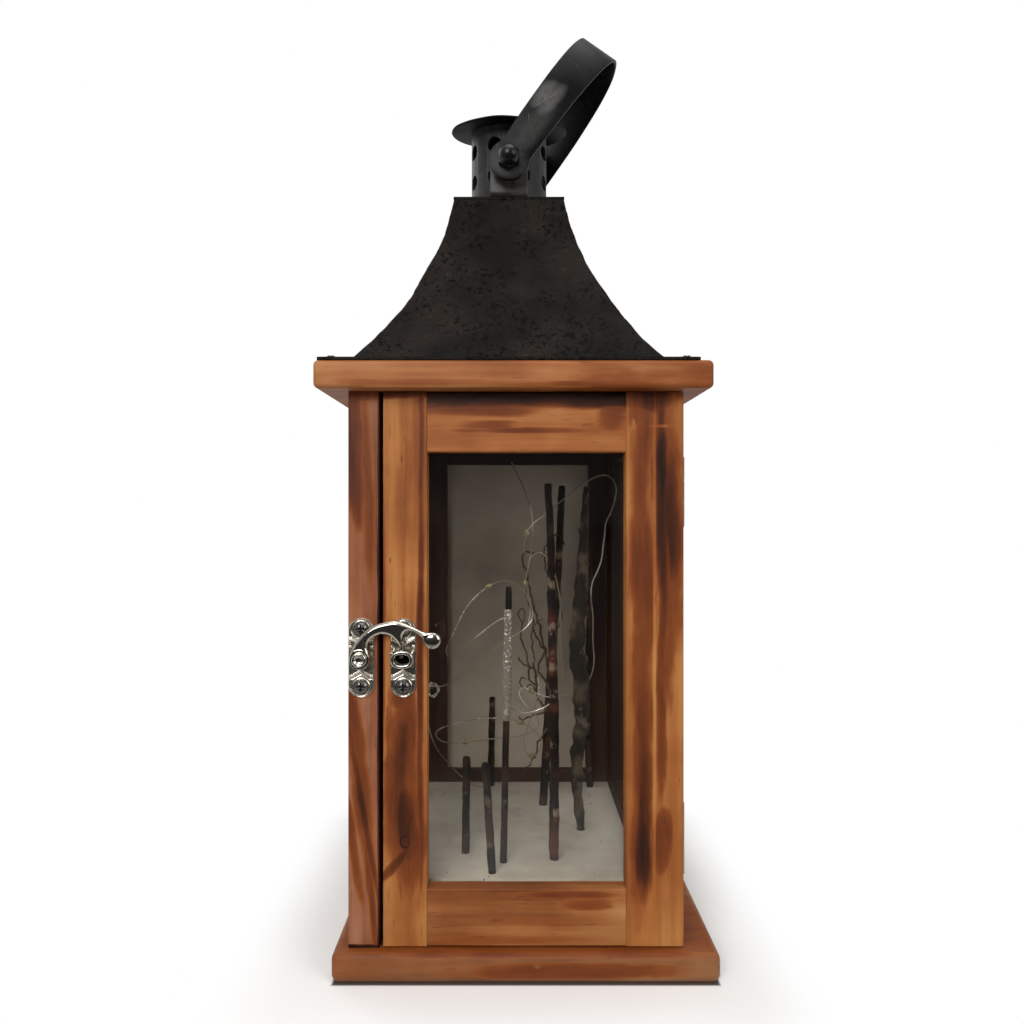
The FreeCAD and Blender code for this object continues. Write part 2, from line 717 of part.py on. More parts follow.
def latch_screws(x, z, plate, board):
    """The two screws of a latch plate, with their holes cut in the plate and the wood."""
    face_y = front - latch_plate_thickness
    screws = []
    for side in (-1, 1):
        at = (x, face_y, z + side * latch_screw_offset)
        sizes = (latch_screw_radius, latch_screw_head_radius, latch_screw_head_height, latch_screw_length)
        screws.append(aimed(pan_screw(*sizes), at, Y))
        hole = rod(
            latch_screw_radius + thread_clearance, (at[0], at[1] - overrun, at[2]),
            (at[0], at[1] + latch_screw_length, at[2]),
        )
        parts[plate] = parts[plate].cut(hole)
        parts[board] = parts[board].cut(hole)
    return group(screws)


def arm_points(shares, y):
    """The arm's outline points in the part's frame, at one depth."""
    return [
        FreeCAD.Vector(latch_pivot_x + along * latch_reach, y, latch_pivot_z + up * latch_rise)
        for along, up in shares
    ]


def pocket_block(half, depth, height, radius):
    """A block on the face of the catch plate with its two outer edges rounded."""
    face_y = front - latch_plate_thickness
    x0 = catch_plate_x - half
    x1 = catch_plate_x + half
    z0 = latch_pivot_z - height / 2
    z1 = latch_pivot_z + height / 2
    rounded = eased(block(x0, x1, face_y - depth, face_y + 2 * radius, z0, z1), radius, Z)
    return rounded.common(block(x0, x1, face_y - depth, face_y, z0, z1))


def build_latch():
    """The pivot plate, rivet, hook arm and catch plate."""
    face_y = front - latch_plate_thickness
    boss_y = face_y - latch_boss_height
    arm_back = boss_y - latch_arm_gap
    arm_front = arm_back - latch_arm_thickness
    head_y = arm_front - latch_arm_gap

    def at_pivot(y):
        return (latch_pivot_x, y, latch_pivot_z)

    rivet_hole = rod(latch_rivet_radius, at_pivot(boss_y - overrun), at_pivot(front + overrun))
    plate = latch_plate(latch_pivot_x, latch_pivot_z)
    plate = plate.fuse(rod(latch_boss_radius, at_pivot(face_y), at_pivot(boss_y)))
    parts["latch_plate"] = plate.cut(rivet_hole)
    parts["latch_plate_screws"] = latch_screws(latch_pivot_x, latch_pivot_z, "latch_plate", "left_front_post")
    head = Part.makeSphere(
        (latch_rivet_head_radius ** 2 + latch_rivet_head_height ** 2) / (2 * latch_rivet_head_height),
    )
    depth_inside = head.BoundBox.ZMax - latch_rivet_head_height
    head = head.translated(FreeCAD.Vector(latch_pivot_x, head_y + depth_inside, latch_pivot_z))
    keep = block(
        latch_pivot_x - latch_reach, latch_pivot_x + latch_reach, head_y - latch_reach, head_y,
        latch_pivot_z - latch_reach, latch_pivot_z + latch_reach,
    )
    rivet = rod(latch_rivet_radius, at_pivot(head_y), at_pivot(front))
    parts["latch_rivet"] = rivet.fuse(head.common(keep)).removeSplitter()

    way = -Y * latch_arm_thickness
    tops = arm_points(arm_top_shares, arm_back)
    unders = arm_points(arm_under_shares, arm_back)
    inners = arm_points(arm_inner_shares, arm_back)
    outline = Part.Wire([
        spline(tops), line(tops[-1], unders[0]), spline(unders), line(unders[-1], inners[0]), spline(inners),
        line(inners[-1], tops[0]),
    ])
    arm = slab(outline, way)
    prong_top = latch_pivot_z + latch_rise * latch_prong_top_share
    prong_zone = block(
        latch_pivot_x + latch_arm_boss_radius + overrun, latch_pivot_x + latch_reach, arm_front - overrun,
        arm_front + latch_prong_setback, latch_pivot_z - overrun, prong_top,
    )
    prong = arm.translated(Y * latch_prong_setback).common(
        block(
            latch_pivot_x + latch_arm_boss_radius + overrun, catch_plate_x + catch_pocket_width / 2,
            arm_front, front, latch_pivot_z - overrun, prong_top + latch_prong_setback,
        )
    )
    arm = arm.cut(prong_zone).fuse(prong)
    arm = arm.fuse(rod(latch_arm_boss_radius, at_pivot(arm_back), at_pivot(arm_front)))
    knob_x = latch_pivot_x + latch_reach
    knob_z = latch_pivot_z + latch_rise * latch_knob_drop_share
    arm = arm.fuse(rod(latch_knob_radius, (knob_x, arm_back, knob_z), (knob_x, arm_front, knob_z)))
    bore = latch_rivet_radius + running_clearance
    arm_hole = rod(bore, at_pivot(arm_front - overrun), at_pivot(arm_back + overrun))
    parts["latch_arm"] = arm.cut(arm_hole).removeSplitter()

    half = catch_pocket_width / 2
    pocket = pocket_block(
        half, catch_pocket_inside + catch_pocket_wall, catch_pocket_height, catch_pocket_radius,
    )
    hollow = pocket_block(
        half - catch_pocket_wall, catch_pocket_inside, catch_pocket_height + overrun,
        catch_pocket_radius - catch_pocket_wall,
    )
    pocket = pocket.cut(hollow)
    parts["catch_plate"] = latch_plate(catch_plate_x, latch_pivot_z).fuse(pocket).removeSplitter()
    parts["catch_plate_screws"] = latch_screws(catch_plate_x, latch_pivot_z, "catch_plate", "door_left_stile")


def slope_arc(offset):
    """The roof's slope in the XZ plane, moved in by offset: its arc's centre and radius."""
    top = FreeCAD.Vector(roof_neck_half, 0, roof_neck_height)
    foot = FreeCAD.Vector(roof_foot_half, 0, sheet)
    chord = top - foot
    half = chord.Length / 2
    radius = (half ** 2 + roof_sag ** 2) / (2 * roof_sag)
    outward = FreeCAD.Vector(chord.z, 0, -chord.x).normalize()
    centre = foot + chord * (1 / 2) + outward * (radius - roof_sag)
    return centre, radius + offset


def slope_point(offset, z):
    """Where the moved slope stands at a height over the roof's foot."""
    centre, radius = slope_arc(offset)
    return FreeCAD.Vector(centre.x - math.sqrt(radius ** 2 - (z - centre.z) ** 2), 0, z)


def pagoda(offset, z0, z1, brim):
    """A square solid with curved slopes between two heights, with a flat brim or none."""
    def profile():
        low = slope_point(offset, max(z0, sheet) if brim else z0)
        high = slope_point(offset, z1)
        middle = slope_point(offset, (low.z + high.z) / 2)
        right_side = [low, middle, high]
        mirror = [FreeCAD.Vector(-p.x, 0, p.z) for p in right_side]
        edges = [
            Part.Arc(*right_side).toShape(), line(high, mirror[2]), Part.Arc(*reversed(mirror)).toShape(),
        ]
        if brim:
            rim = [
                mirror[0], FreeCAD.Vector(-roof_brim_half, 0, sheet), FreeCAD.Vector(-roof_brim_half, 0, 0),
                FreeCAD.Vector(roof_brim_half, 0, 0), FreeCAD.Vector(roof_brim_half, 0, sheet), low,
            ]
            edges += [line(a, b) for a, b in zip(rim, rim[1:])]
        else:
            edges.append(line(mirror[0], low))
        return Part.Wire(edges)

    reach = roof_brim_half + overrun
    one_way = slab(profile(), Y * (2 * reach)).translated(-Y * reach)
    other_way = one_way.rotated(ORIGIN, Z, 90)
    return one_way.common(other_way)


def build_roof():
    """The roof's shell, its top plate and its four screws."""
    at = FreeCAD.Vector(roof_shift_x, 0, roof_base)
    inside = pagoda(sheet, -overrun, roof_neck_height + overrun, False)
    shell = pagoda(0, 0, roof_neck_height, True).cut(inside).translated(at)
    sizes = (roof_screw_radius, roof_screw_head_radius, roof_screw_head_height, roof_screw_length)
    inset = roof_brim_half - roof_screw_inset
    screws = []
    for x in (-inset, inset):
        for y in (-inset, inset):
            head = (x + roof_shift_x, y, roof_base + sheet)
            screws.append(aimed(pan_screw(*sizes), head, -Z))
            hole = rod(
                roof_screw_radius + thread_clearance, (head[0], head[1], head[2] + overrun),
                (head[0], head[1], head[2] - roof_screw_length),
            )
            shell = shell.cut(hole)
            parts["top_board"] = parts["top_board"].cut(hole)
    parts["roof_shell"] = shell
    parts["roof_screws"] = group(screws)
    plate = block(
        roof_shift_x - roof_neck_half, roof_shift_x + roof_neck_half, -roof_neck_half, roof_neck_half,
        plate_top - roof_plate_thickness, plate_top,
    )
    hole = rod(
        chimney_radius - chimney_wall - chimney_seat, (roof_shift_x, 0, plate_top - 2 * roof_plate_thickness),
        (roof_shift_x, 0, plate_top + overrun),
    )
    parts["roof_top_plate"] = plate.cut(hole)


def build_chimney():
    """The vented tube and the tilted round cap that closes it."""
    foot = FreeCAD.Vector(roof_shift_x, 0, plate_top)
    cap_base = foot + Z * chimney_height
    above = block(-cap_radius, cap_radius, -cap_radius, cap_radius, 0, 2 * cap_radius)
    above = above.rotated(ORIGIN, X, cap_tilt).translated(cap_base)
    length = chimney_height + cap_radius
    tube = Part.makeCylinder(chimney_radius, length, foot)
    bore = Part.makeCylinder(chimney_radius - chimney_wall, length + 2 * overrun, foot - Z * overrun)
    tube = tube.cut(bore).cut(above)
    step = 360 / chimney_holes_per_row
    for height in chimney_hole_rows:
        for i in range(chimney_holes_per_row):
            angle = math.radians(step * (i + 1 / 2))
            way = FreeCAD.Vector(math.cos(angle), math.sin(angle), 0)
            drill_foot = foot + Z * height
            tube = tube.cut(Part.makeCylinder(chimney_hole_radius, chimney_radius + overrun, drill_foot, way))
    parts["chimney_tube"] = tube
    cap = Part.makeCylinder(cap_radius, sheet, ORIGIN, Z)
    parts["chimney_cap"] = cap.rotated(ORIGIN, X, cap_tilt).translated(cap_base)


def bail_edge(side):
    """Points along the strap's outer (side 0) or inner (side 1) face, pivot at the origin, loop along +Z."""
    middle_reach = bail_reach - bail_strap / 2
    middle_length = bail_length - bail_strap / 2
    power = 2 / bail_exponent

    def place(angle):
        across = math.copysign(abs(math.cos(angle)) ** power, math.cos(angle))
        return middle_reach * across, middle_length * math.sin(angle) ** power

    points = []
    shift = bail_strap / 2 * (1 - 2 * side)
    small = math.pi / (bail_steps * bail_steps)
    for i in range(1, bail_steps):
        angle = math.pi * i / bail_steps
        y0, z0 = place(angle - small)
        y1, z1 = place(angle + small)
        along = FreeCAD.Vector(0, y1 - y0, z1 - z0).normalize()
        y, z = place(angle)
        points.append(FreeCAD.Vector(0, y + along.z * shift, z - along.y * shift))
    reach = middle_reach + shift
    return [FreeCAD.Vector(0, reach, 0), *points, FreeCAD.Vector(0, -reach, 0)]


def build_bail():
    """The strap bail with its two round ears, leaning to the right."""
    outer = bail_edge(0)
    inner = bail_edge(1)
    ear_drop = -Z * (bail_ear_radius + overrun)
    ends = (outer[0], outer[-1], inner[-1], inner[0])
    outer_first, outer_last, inner_last, inner_first = [end + ear_drop for end in ends]
    outline = Part.Wire([
        line(outer_first, outer[0]), spline(outer), line(outer[-1], outer_last), line(outer_last, inner_last),
        line(inner_last, inner[-1]), spline(inner[::-1]), line(inner[0], inner_first),
        line(inner_first, outer_first),
    ])
    band = slab(outline, X * bail_end_width).translated(-X * (bail_end_width / 2))
    reach = bail_reach + overrun
    corners = (
        (-bail_root_width / 2, 0), (bail_root_width / 2, 0), (bail_end_width / 2, bail_length),
        (-bail_end_width / 2, bail_length),
    )
    side_view = polygon([FreeCAD.Vector(x, -reach, z) for x, z in corners])
    width = slab(side_view, Y * (2 * reach)).fuse(rod(bail_ear_radius, (0, -reach, 0), (0, reach, 0)))
    bail = band.common(width)
    bail = bail.cut(rod(bolt_radius + running_clearance, (0, -reach, 0), (0, reach, 0)))
    bail = bail.rotated(ORIGIN, Y, bail_lean).translated(FreeCAD.Vector(roof_shift_x, 0, pivot_z))
    parts["bail"] = bail


def bracket():
    """A bracket at the front: a foot on the roof plate and an upright with a round top."""
    outer = -bracket_face
    inner = outer + bracket_thickness
    top = pivot_z + bracket_width / 2
    bend = bracket_bend_radius
    half = bracket_width / 2
    upright = block(-half, half, outer, inner, plate_top, top)
    foot = block(-half, half, outer, outer + bracket_foot, plate_top, plate_top + bracket_thickness)
    ell = upright.fuse(foot).removeSplitter()
    corner = [
        e for e in ell.Edges
        if all(abs(v.Point.y - outer) + abs(v.Point.z - plate_top) < tolerance for v in e.Vertexes)
    ]
    ell = ell.makeFillet(bend, corner)
    shape = block(-half, half, outer, outer + bracket_foot, plate_top, pivot_z)
    shape = shape.fuse(rod(half, (0, outer, pivot_z), (0, outer + bracket_foot, pivot_z)))
    hole = rod(bolt_radius + thread_clearance, (0, outer - overrun, pivot_z), (0, inner + overrun, pivot_z))
    return ell.common(shape).cut(hole)


def hexagon(across_flats, height, at):
    """A hexagonal prism along -Y from a point."""
    foot = FreeCAD.Vector(*at)
    up = Z * (across_flats / math.sqrt(3))
    corners = [foot + FreeCAD.Rotation(Y, 60 * i).multVec(up) for i in range(6)]
    return slab(polygon(corners), -Y * height)


def build_bail_mounts():
    """Brackets, bolts, spacers and cap nuts, made at the front and mirrored to the back."""
    ear_inner = -(bail_reach - bail_strap)
    ear_outer = -bail_reach
    spacer_start = -bracket_face
    spacer_end = ear_inner + ear_gap
    nut_start = ear_outer - ear_gap
    bore = bolt_radius + thread_clearance

    def at(y):
        return (0, y, pivot_z)

    spacer = hexagon(nut_across_flats, spacer_start - spacer_end, at(spacer_start))
    spacer = spacer.cut(rod(bore, at(spacer_start + overrun), at(spacer_end - overrun)))
    head_start = -bracket_face + bracket_thickness
    bolt = rod(bolt_radius, at(head_start), at(ear_outer - bolt_end))
    head = rod(bolt_head_radius, at(head_start), at(head_start + bolt_head_height))
    bolt = bolt.fuse(head).removeSplitter()
    nut = hexagon(nut_across_flats, cap_nut_hex_height, at(nut_start))
    dome_radius = nut_across_flats / 2
    dome_foot = nut_start - cap_nut_height + dome_radius
    nut = nut.fuse(rod(dome_radius, at(nut_start - cap_nut_hex_height), at(dome_foot)))
    nut = nut.fuse(Part.makeSphere(dome_radius, FreeCAD.Vector(*at(dome_foot)))).removeSplitter()
    nut = nut.cut(rod(bore, at(nut_start + overrun), at(ear_outer - bolt_end)))
    made = {"bail_brackets": bracket(), "bail_spacers": spacer, "bail_bolts": bolt, "bail_cap_nuts": nut}
    for name, shape in made.items():
        pair = [shape, shape.rotated(ORIGIN, Z, 180)]
        parts[name] = group([s.translated(FreeCAD.Vector(roof_shift_x, 0, 0)) for s in pair])


def room_point(across, deep, up):
    """A place over the bed, from shares of the room's width, depth and height."""
    return (
        inside_left + across * (inside_right - inside_left),
        inside_front + deep * (inside_back - inside_front),
        bed_top + up * (case_top - bed_top),
    )


def twig(shares, radius):
    """A twig that runs down into the bed, and the hole that it stands in."""
    route = [room_point(*share) for share in shares]
    foot = FreeCAD.Vector(*route[0])
    down = (foot - FreeCAD.Vector(*route[1])).normalize()
    buried = foot + down * twig_depth
    points = [tuple(buried), *route[1:]]
    shape = pipe(points, radius)[0] if len(points) > 2 else rod(radius, *points)
    hole = rod(radius + twig_clearance, tuple(buried), tuple(foot - down * overrun))
    return shape, hole


def build_display():
    """The floor bed with the twigs standing in it."""
    bed = block(
        inside_left + bed_gap, inside_right - bed_gap, inside_front, inside_back - bed_gap,
        case_bottom, bed_top,
    )
    short = []
    for shares in short_twig_shares:
        shape, hole = twig(shares, twig_radius)
        short.append(shape)
        bed = bed.cut(hole)
    parts["short_twigs"] = group(short)
    singles = (
        ("wrapped_twig", wrapped_twig_shares, twig_radius),
        ("tall_twig", tall_twig_shares, twig_radius),
        ("leaning_twig", leaning_twig_shares, twig_radius),
        ("knotty_twig", knotty_twig_shares, thick_twig_radius),
        ("back_twig", back_twig_shares, twig_radius),
    )
    for name, shares, radius in singles:
        shape, hole = twig(shares, radius)
        parts[name] = shape
        bed = bed.cut(hole)
    box_top = cover_recess + cover_thickness + box_height
    bed = bed.cut(
        block(
            box_x - bed_gap, box_x + box_width + bed_gap, box_y - bed_gap, box_y + box_length + bed_gap,
            case_bottom - overrun, box_top + bed_gap,
        )
    )
    bed = bed.cut(rod(lead_hole_radius, route_to_bundle[0], (lead_x, lead_y, bed_top + overrun)))
    parts["snow_bed"] = bed


def bundle_points():
    """The small coil that the string makes near the left glass."""
    x, y, z = bundle_centre
    points = []
    for i in range(bundle_count):
        angle = math.pi - 2 * math.pi * i / bundle_steps
        along = bundle_pitch * (bundle_count / 2 - i) / bundle_steps
        points.append((
            x + bundle_radius * math.cos(angle), y + along,
            z + bundle_stretch * bundle_radius * math.sin(angle),
        ))
    return points


def wrap_points():
    """The turns that the string makes round the wrapped twig."""
    foot, tip = (room_point(*share) for share in wrapped_twig_shares)
    count = wrap_turns * wrap_steps
    points = []
    for i in range(count + 1):
        z = wrap_top + (wrap_bottom - wrap_top) * i / count
        share = (z - foot[2]) / (tip[2] - foot[2])
        angle = math.radians(wrap_start_angle) + 2 * math.pi * i / wrap_steps
        points.append((
            foot[0] + (tip[0] - foot[0]) * share + wrap_radius * math.cos(angle),
            foot[1] + (tip[1] - foot[1]) * share + wrap_radius * math.sin(angle), z,
        ))
    return points


def least_gap(path, radius, skip):
    """The least gap of a tube to itself, between points of its path at least skip apart along it."""
    points = path.discretize(Distance=2 * radius)
    grid = {}
    for i, p in enumerate(points):
        grid.setdefault(tuple(int(c // skip) for c in p), []).append(i)
    steps = int(skip / (2 * radius))
    least = math.inf
    around = (-1, 0, 1)
    for (i, j, k), members in grid.items():
        cells = [(i + a, j + b, k + c) for a in around for b in around for c in around]
        others = [n for cell in cells for n in grid.get(cell, ())]
        for m in members:
            for n in others:
                if n - m > steps:
                    least = min(least, (points[n] - points[m]).Length)
    return least - 2 * radius


def build_lights():
    """The light string, one unbroken wire, and the drops of resin on it."""
    route = [*route_to_bundle, *bundle_points(), *route_to_wrap, *wrap_points(), *route_to_tip]
    tube, tightest, path = pipe(route, wire_radius)
    report_pipe("light string", tube, wire_radius, tightest, path)
    gap = least_gap(path, wire_radius, 2 * wrap_radius)
    print(f"light string: least gap to itself {gap:.2f}, wanted over {least_wire_gap}")
    parts["light_string"] = tube
    places = [bundle_points()[bundle_count // 2]]
    for stretch, shares in ((route_to_wrap, drop_shares_to_wrap), (route_to_tip, drop_shares_to_tip)):
        places += [stretch[round(share * (len(stretch) - 1))] for share in shares]
    parts["light_drops"] = group([Part.makeSphere(drop_radius, FreeCAD.Vector(*p)) for p in places])


def build_battery_box():
    """The battery box under the bed: case, cover, cells, contacts and the switch knob."""
    z0 = cover_recess + cover_thickness
    z1 = z0 + box_height
    x0, x1 = box_x, box_x + box_width
    y0, y1 = box_y, box_y + box_length
    wall_y = y1 - box_wall - cell_space
    box = block(x0, x1, y0, y1, z0, z1)
    box = box.cut(block(x0 + box_wall, x1 - box_wall, wall_y, y1 - box_wall, z0 - overrun, z1 - box_wall))
    box = box.cut(
        block(x0 + box_wall, x1 - box_wall, y0 + box_wall, wall_y - box_wall, z0 - overrun, z1 - box_wall)
    )
    lead_hole = wire_radius + thread_clearance
    box = box.cut(rod(lead_hole, route_to_bundle[0], (lead_x, lead_y, z1 + overrun)))
    parts["battery_box"] = box

    cells, contacts = [], []
    cell_z = z0 + cell_radius + part_gap
    first_end, last_end = wall_y, y1 - box_wall
    for side in (-1, 1):
        x = (x0 + x1) / 2 + side * (cell_radius + part_gap)
        start, way = (first_end, 1) if side < 0 else (last_end, -1)

        def along(distance):
            return (x, start + way * distance, cell_z)

        spring_end = contact_thickness + spring_length
        cell_end = spring_end + cell_length - cell_button_height
        cell = rod(cell_radius, along(spring_end), along(cell_end))
        button = rod(cell_button_radius, along(cell_end), along(cell_end + cell_button_height))
        cells.append(cell.fuse(button))
        half = contact_size / 2
        for plate_y in (first_end, last_end - contact_thickness):
            plate = block(
                x - half, x + half, plate_y, plate_y + contact_thickness, cell_z - half, cell_z + half,
            )
            contacts.append(plate)
        spring = rod(spring_radius, along(contact_thickness), along(spring_end))
        sprung = -2 if way > 0 else -1
        contacts[sprung] = contacts[sprung].fuse(spring)
    parts["battery_cells"] = group(cells)
    parts["battery_contacts"] = group(contacts)

    cover = block(
        x0 - cover_overlap, x1 + cover_overlap, y0 - cover_overlap, y1 + cover_overlap, cover_recess, z0,
    )
    mid_x = (x0 + x1) / 2
    mid_y = (y0 + box_wall + wall_y - box_wall) / 2
    knob_half = switch_knob_length / 2
    knob_side = switch_knob_width / 2
    slot_side = knob_side + part_gap
    slot = block(
        mid_x - knob_half - part_gap, mid_x + knob_half + switch_travel + part_gap,
        mid_y - slot_side, mid_y + slot_side, -overrun, z0 + overrun,
    )
    parts["battery_cover"] = cover.cut(slot)
    slider_half = switch_slider_length / 2
    slider_side = switch_slider_width / 2
    slider = block(
        mid_x - slider_half, mid_x + slider_half, mid_y - slider_side, mid_y + slider_side,
        z0 + part_gap, z0 + part_gap + switch_slider_height,
    )
    stem = block(
        mid_x - knob_half, mid_x + knob_half, mid_y - knob_side, mid_y + knob_side,
        switch_recess, z0 + part_gap,
    )
    parts["switch_knob"] = slider.fuse(stem).removeSplitter()


def main():
    """Builds every sub-part and writes each to its own file."""
    build_boards()
    build_case()
    build_door()
    build_hinges()
    build_case_screws()
    build_latch()
    build_roof()
    build_chimney()
    build_bail()
    build_bail_mounts()
    build_display()
    build_lights()
    build_battery_box()
    os.makedirs("parts", exist_ok=True)
    for name, shape in parts.items():
        if not shape.isValid() or not shape.Solids:
            print(f"{name} is not a valid solid")
        shape.exportStep(os.path.join("parts", f"{name}.step"))
    print(f"{len(parts)} sub-parts written")


main()
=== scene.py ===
"""The looks of a wooden lantern with a black roof, a hook latch and a display of twigs.

Everything is in metres in the CAD frame: +X right, +Y back and +Z up, seen from the door.
"""

import logging
import math
from collections.abc import Iterable, Iterator, Sequence
from dataclasses import dataclass
from enum import Enum
from functools import reduce

import bmesh
import bpy
from mathutils import Matrix, Vector, kdtree, noise


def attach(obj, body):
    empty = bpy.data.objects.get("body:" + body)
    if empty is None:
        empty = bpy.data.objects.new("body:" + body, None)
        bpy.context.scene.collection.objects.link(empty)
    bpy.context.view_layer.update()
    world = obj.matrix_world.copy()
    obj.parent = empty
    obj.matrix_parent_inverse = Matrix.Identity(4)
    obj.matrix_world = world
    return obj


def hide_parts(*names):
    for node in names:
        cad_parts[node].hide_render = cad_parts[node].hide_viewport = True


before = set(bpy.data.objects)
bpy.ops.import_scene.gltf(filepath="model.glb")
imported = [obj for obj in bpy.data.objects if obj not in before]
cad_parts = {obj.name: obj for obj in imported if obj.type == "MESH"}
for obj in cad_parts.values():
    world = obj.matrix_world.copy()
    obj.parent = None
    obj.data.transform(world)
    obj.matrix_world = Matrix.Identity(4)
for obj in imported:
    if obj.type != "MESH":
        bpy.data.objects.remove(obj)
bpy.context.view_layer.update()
LOG = logging.getLogger("lantern")
MM = 0.001

Colour = tuple[float, float, float]
Place = tuple[float, float, float]
Pair = tuple[float, float]
Stops = Sequence[tuple[float, Colour]]
Socket = bpy.types.NodeSocket
Material = bpy.types.Material
Mesh = bpy.types.Mesh
Object = bpy.types.Object


def tone(red: int, green: int, blue: int) -> Colour:
    """Turns a display colour, 0 to 255 each, into the linear colour that a shader takes."""
    def linear(level: int) -> float:
        """Returns one share in linear light."""
        part = level / 255
        return part / 12.92 if part <= 0.04045 else ((part + 0.055) / 1.055) ** 2.4
    return linear(red), linear(green), linear(blue)


def scaled(colour: Colour, share: float) -> Colour:
    """Returns a colour with each part times a share."""
    return tuple(part * share for part in colour)


class Axis(Enum):
    """A direction of the frame, such as the one that a board's grain follows."""
    X = 0
    Y = 1
    Z = 2


class Face(Enum):
    """Which two coordinates run across and up a board's wide face."""
    FRONT = (0, 2)
    SIDE = (1, 2)


class Body(Enum):
    """The bodies that new pieces ride on, by their names in the record."""
    LANTERN = "lantern"
    DOOR = "door"
    LATCH_ARM = "latch_arm"
    BAIL = "bail"


class Value:
    """A number that varies over a surface. Sums with it add Math nodes to its shader."""

    def __init__(self, shader: "Shader", socket: Socket) -> None:
        """Wraps one output socket of a shader."""
        self.shader = shader
        self.socket = socket

    def math(self, operation: str, *terms: "Value | float") -> "Value":
        """Adds a Math node with these inputs, in order, and returns its result."""
        made = self.shader.node("ShaderNodeMath", {"operation": operation}, dict(enumerate(terms)))
        return Value(self.shader, made.outputs[0])

    def __add__(self, other: "Value | float") -> "Value":
        """Returns self + other."""
        return self.math("ADD", self, other)

    def __radd__(self, other: float) -> "Value":
        """Returns other + self."""
        return self.math("ADD", other, self)

    def __sub__(self, other: "Value | float") -> "Value":
        """Returns self - other."""
        return self.math("SUBTRACT", self, other)

    def __rsub__(self, other: float) -> "Value":
        """Returns other - self."""
        return self.math("SUBTRACT", other, self)

    def __mul__(self, other: "Value | float") -> "Value":
        """Returns self * other."""
        return self.math("MULTIPLY", self, other)

    def __rmul__(self, other: float) -> "Value":
        """Returns other * self."""
        return self.math("MULTIPLY", other, self)

    def __truediv__(self, other: "Value | float") -> "Value":
        """Returns self / other."""
        return self.math("DIVIDE", self, other)

    def __abs__(self) -> "Value":
        """Returns the size without its sign."""
        return self.math("ABSOLUTE", self)

    def sine(self) -> "Value":
        """Returns the sine."""
        return self.math("SINE", self)

    def root(self) -> "Value":
        """Returns the square root."""
        return self.math("SQRT", self)

    def most(self, other: "Value | float") -> "Value":
        """Returns the larger of two."""
        return self.math("MAXIMUM", self, other)

    def least(self, other: "Value | float") -> "Value":
        """Returns the smaller of two."""
        return self.math("MINIMUM", self, other)

    def step(self, low: float, high: float) -> "Value":
        """Returns a value that eases from 0 at low to 1 at high."""
        sockets = {"Value": self, "From Min": low, "From Max": high}
        made = self.shader.node("ShaderNodeMapRange", {"interpolation_type": "SMOOTHSTEP"}, sockets)
        return Value(self.shader, made.outputs[0])


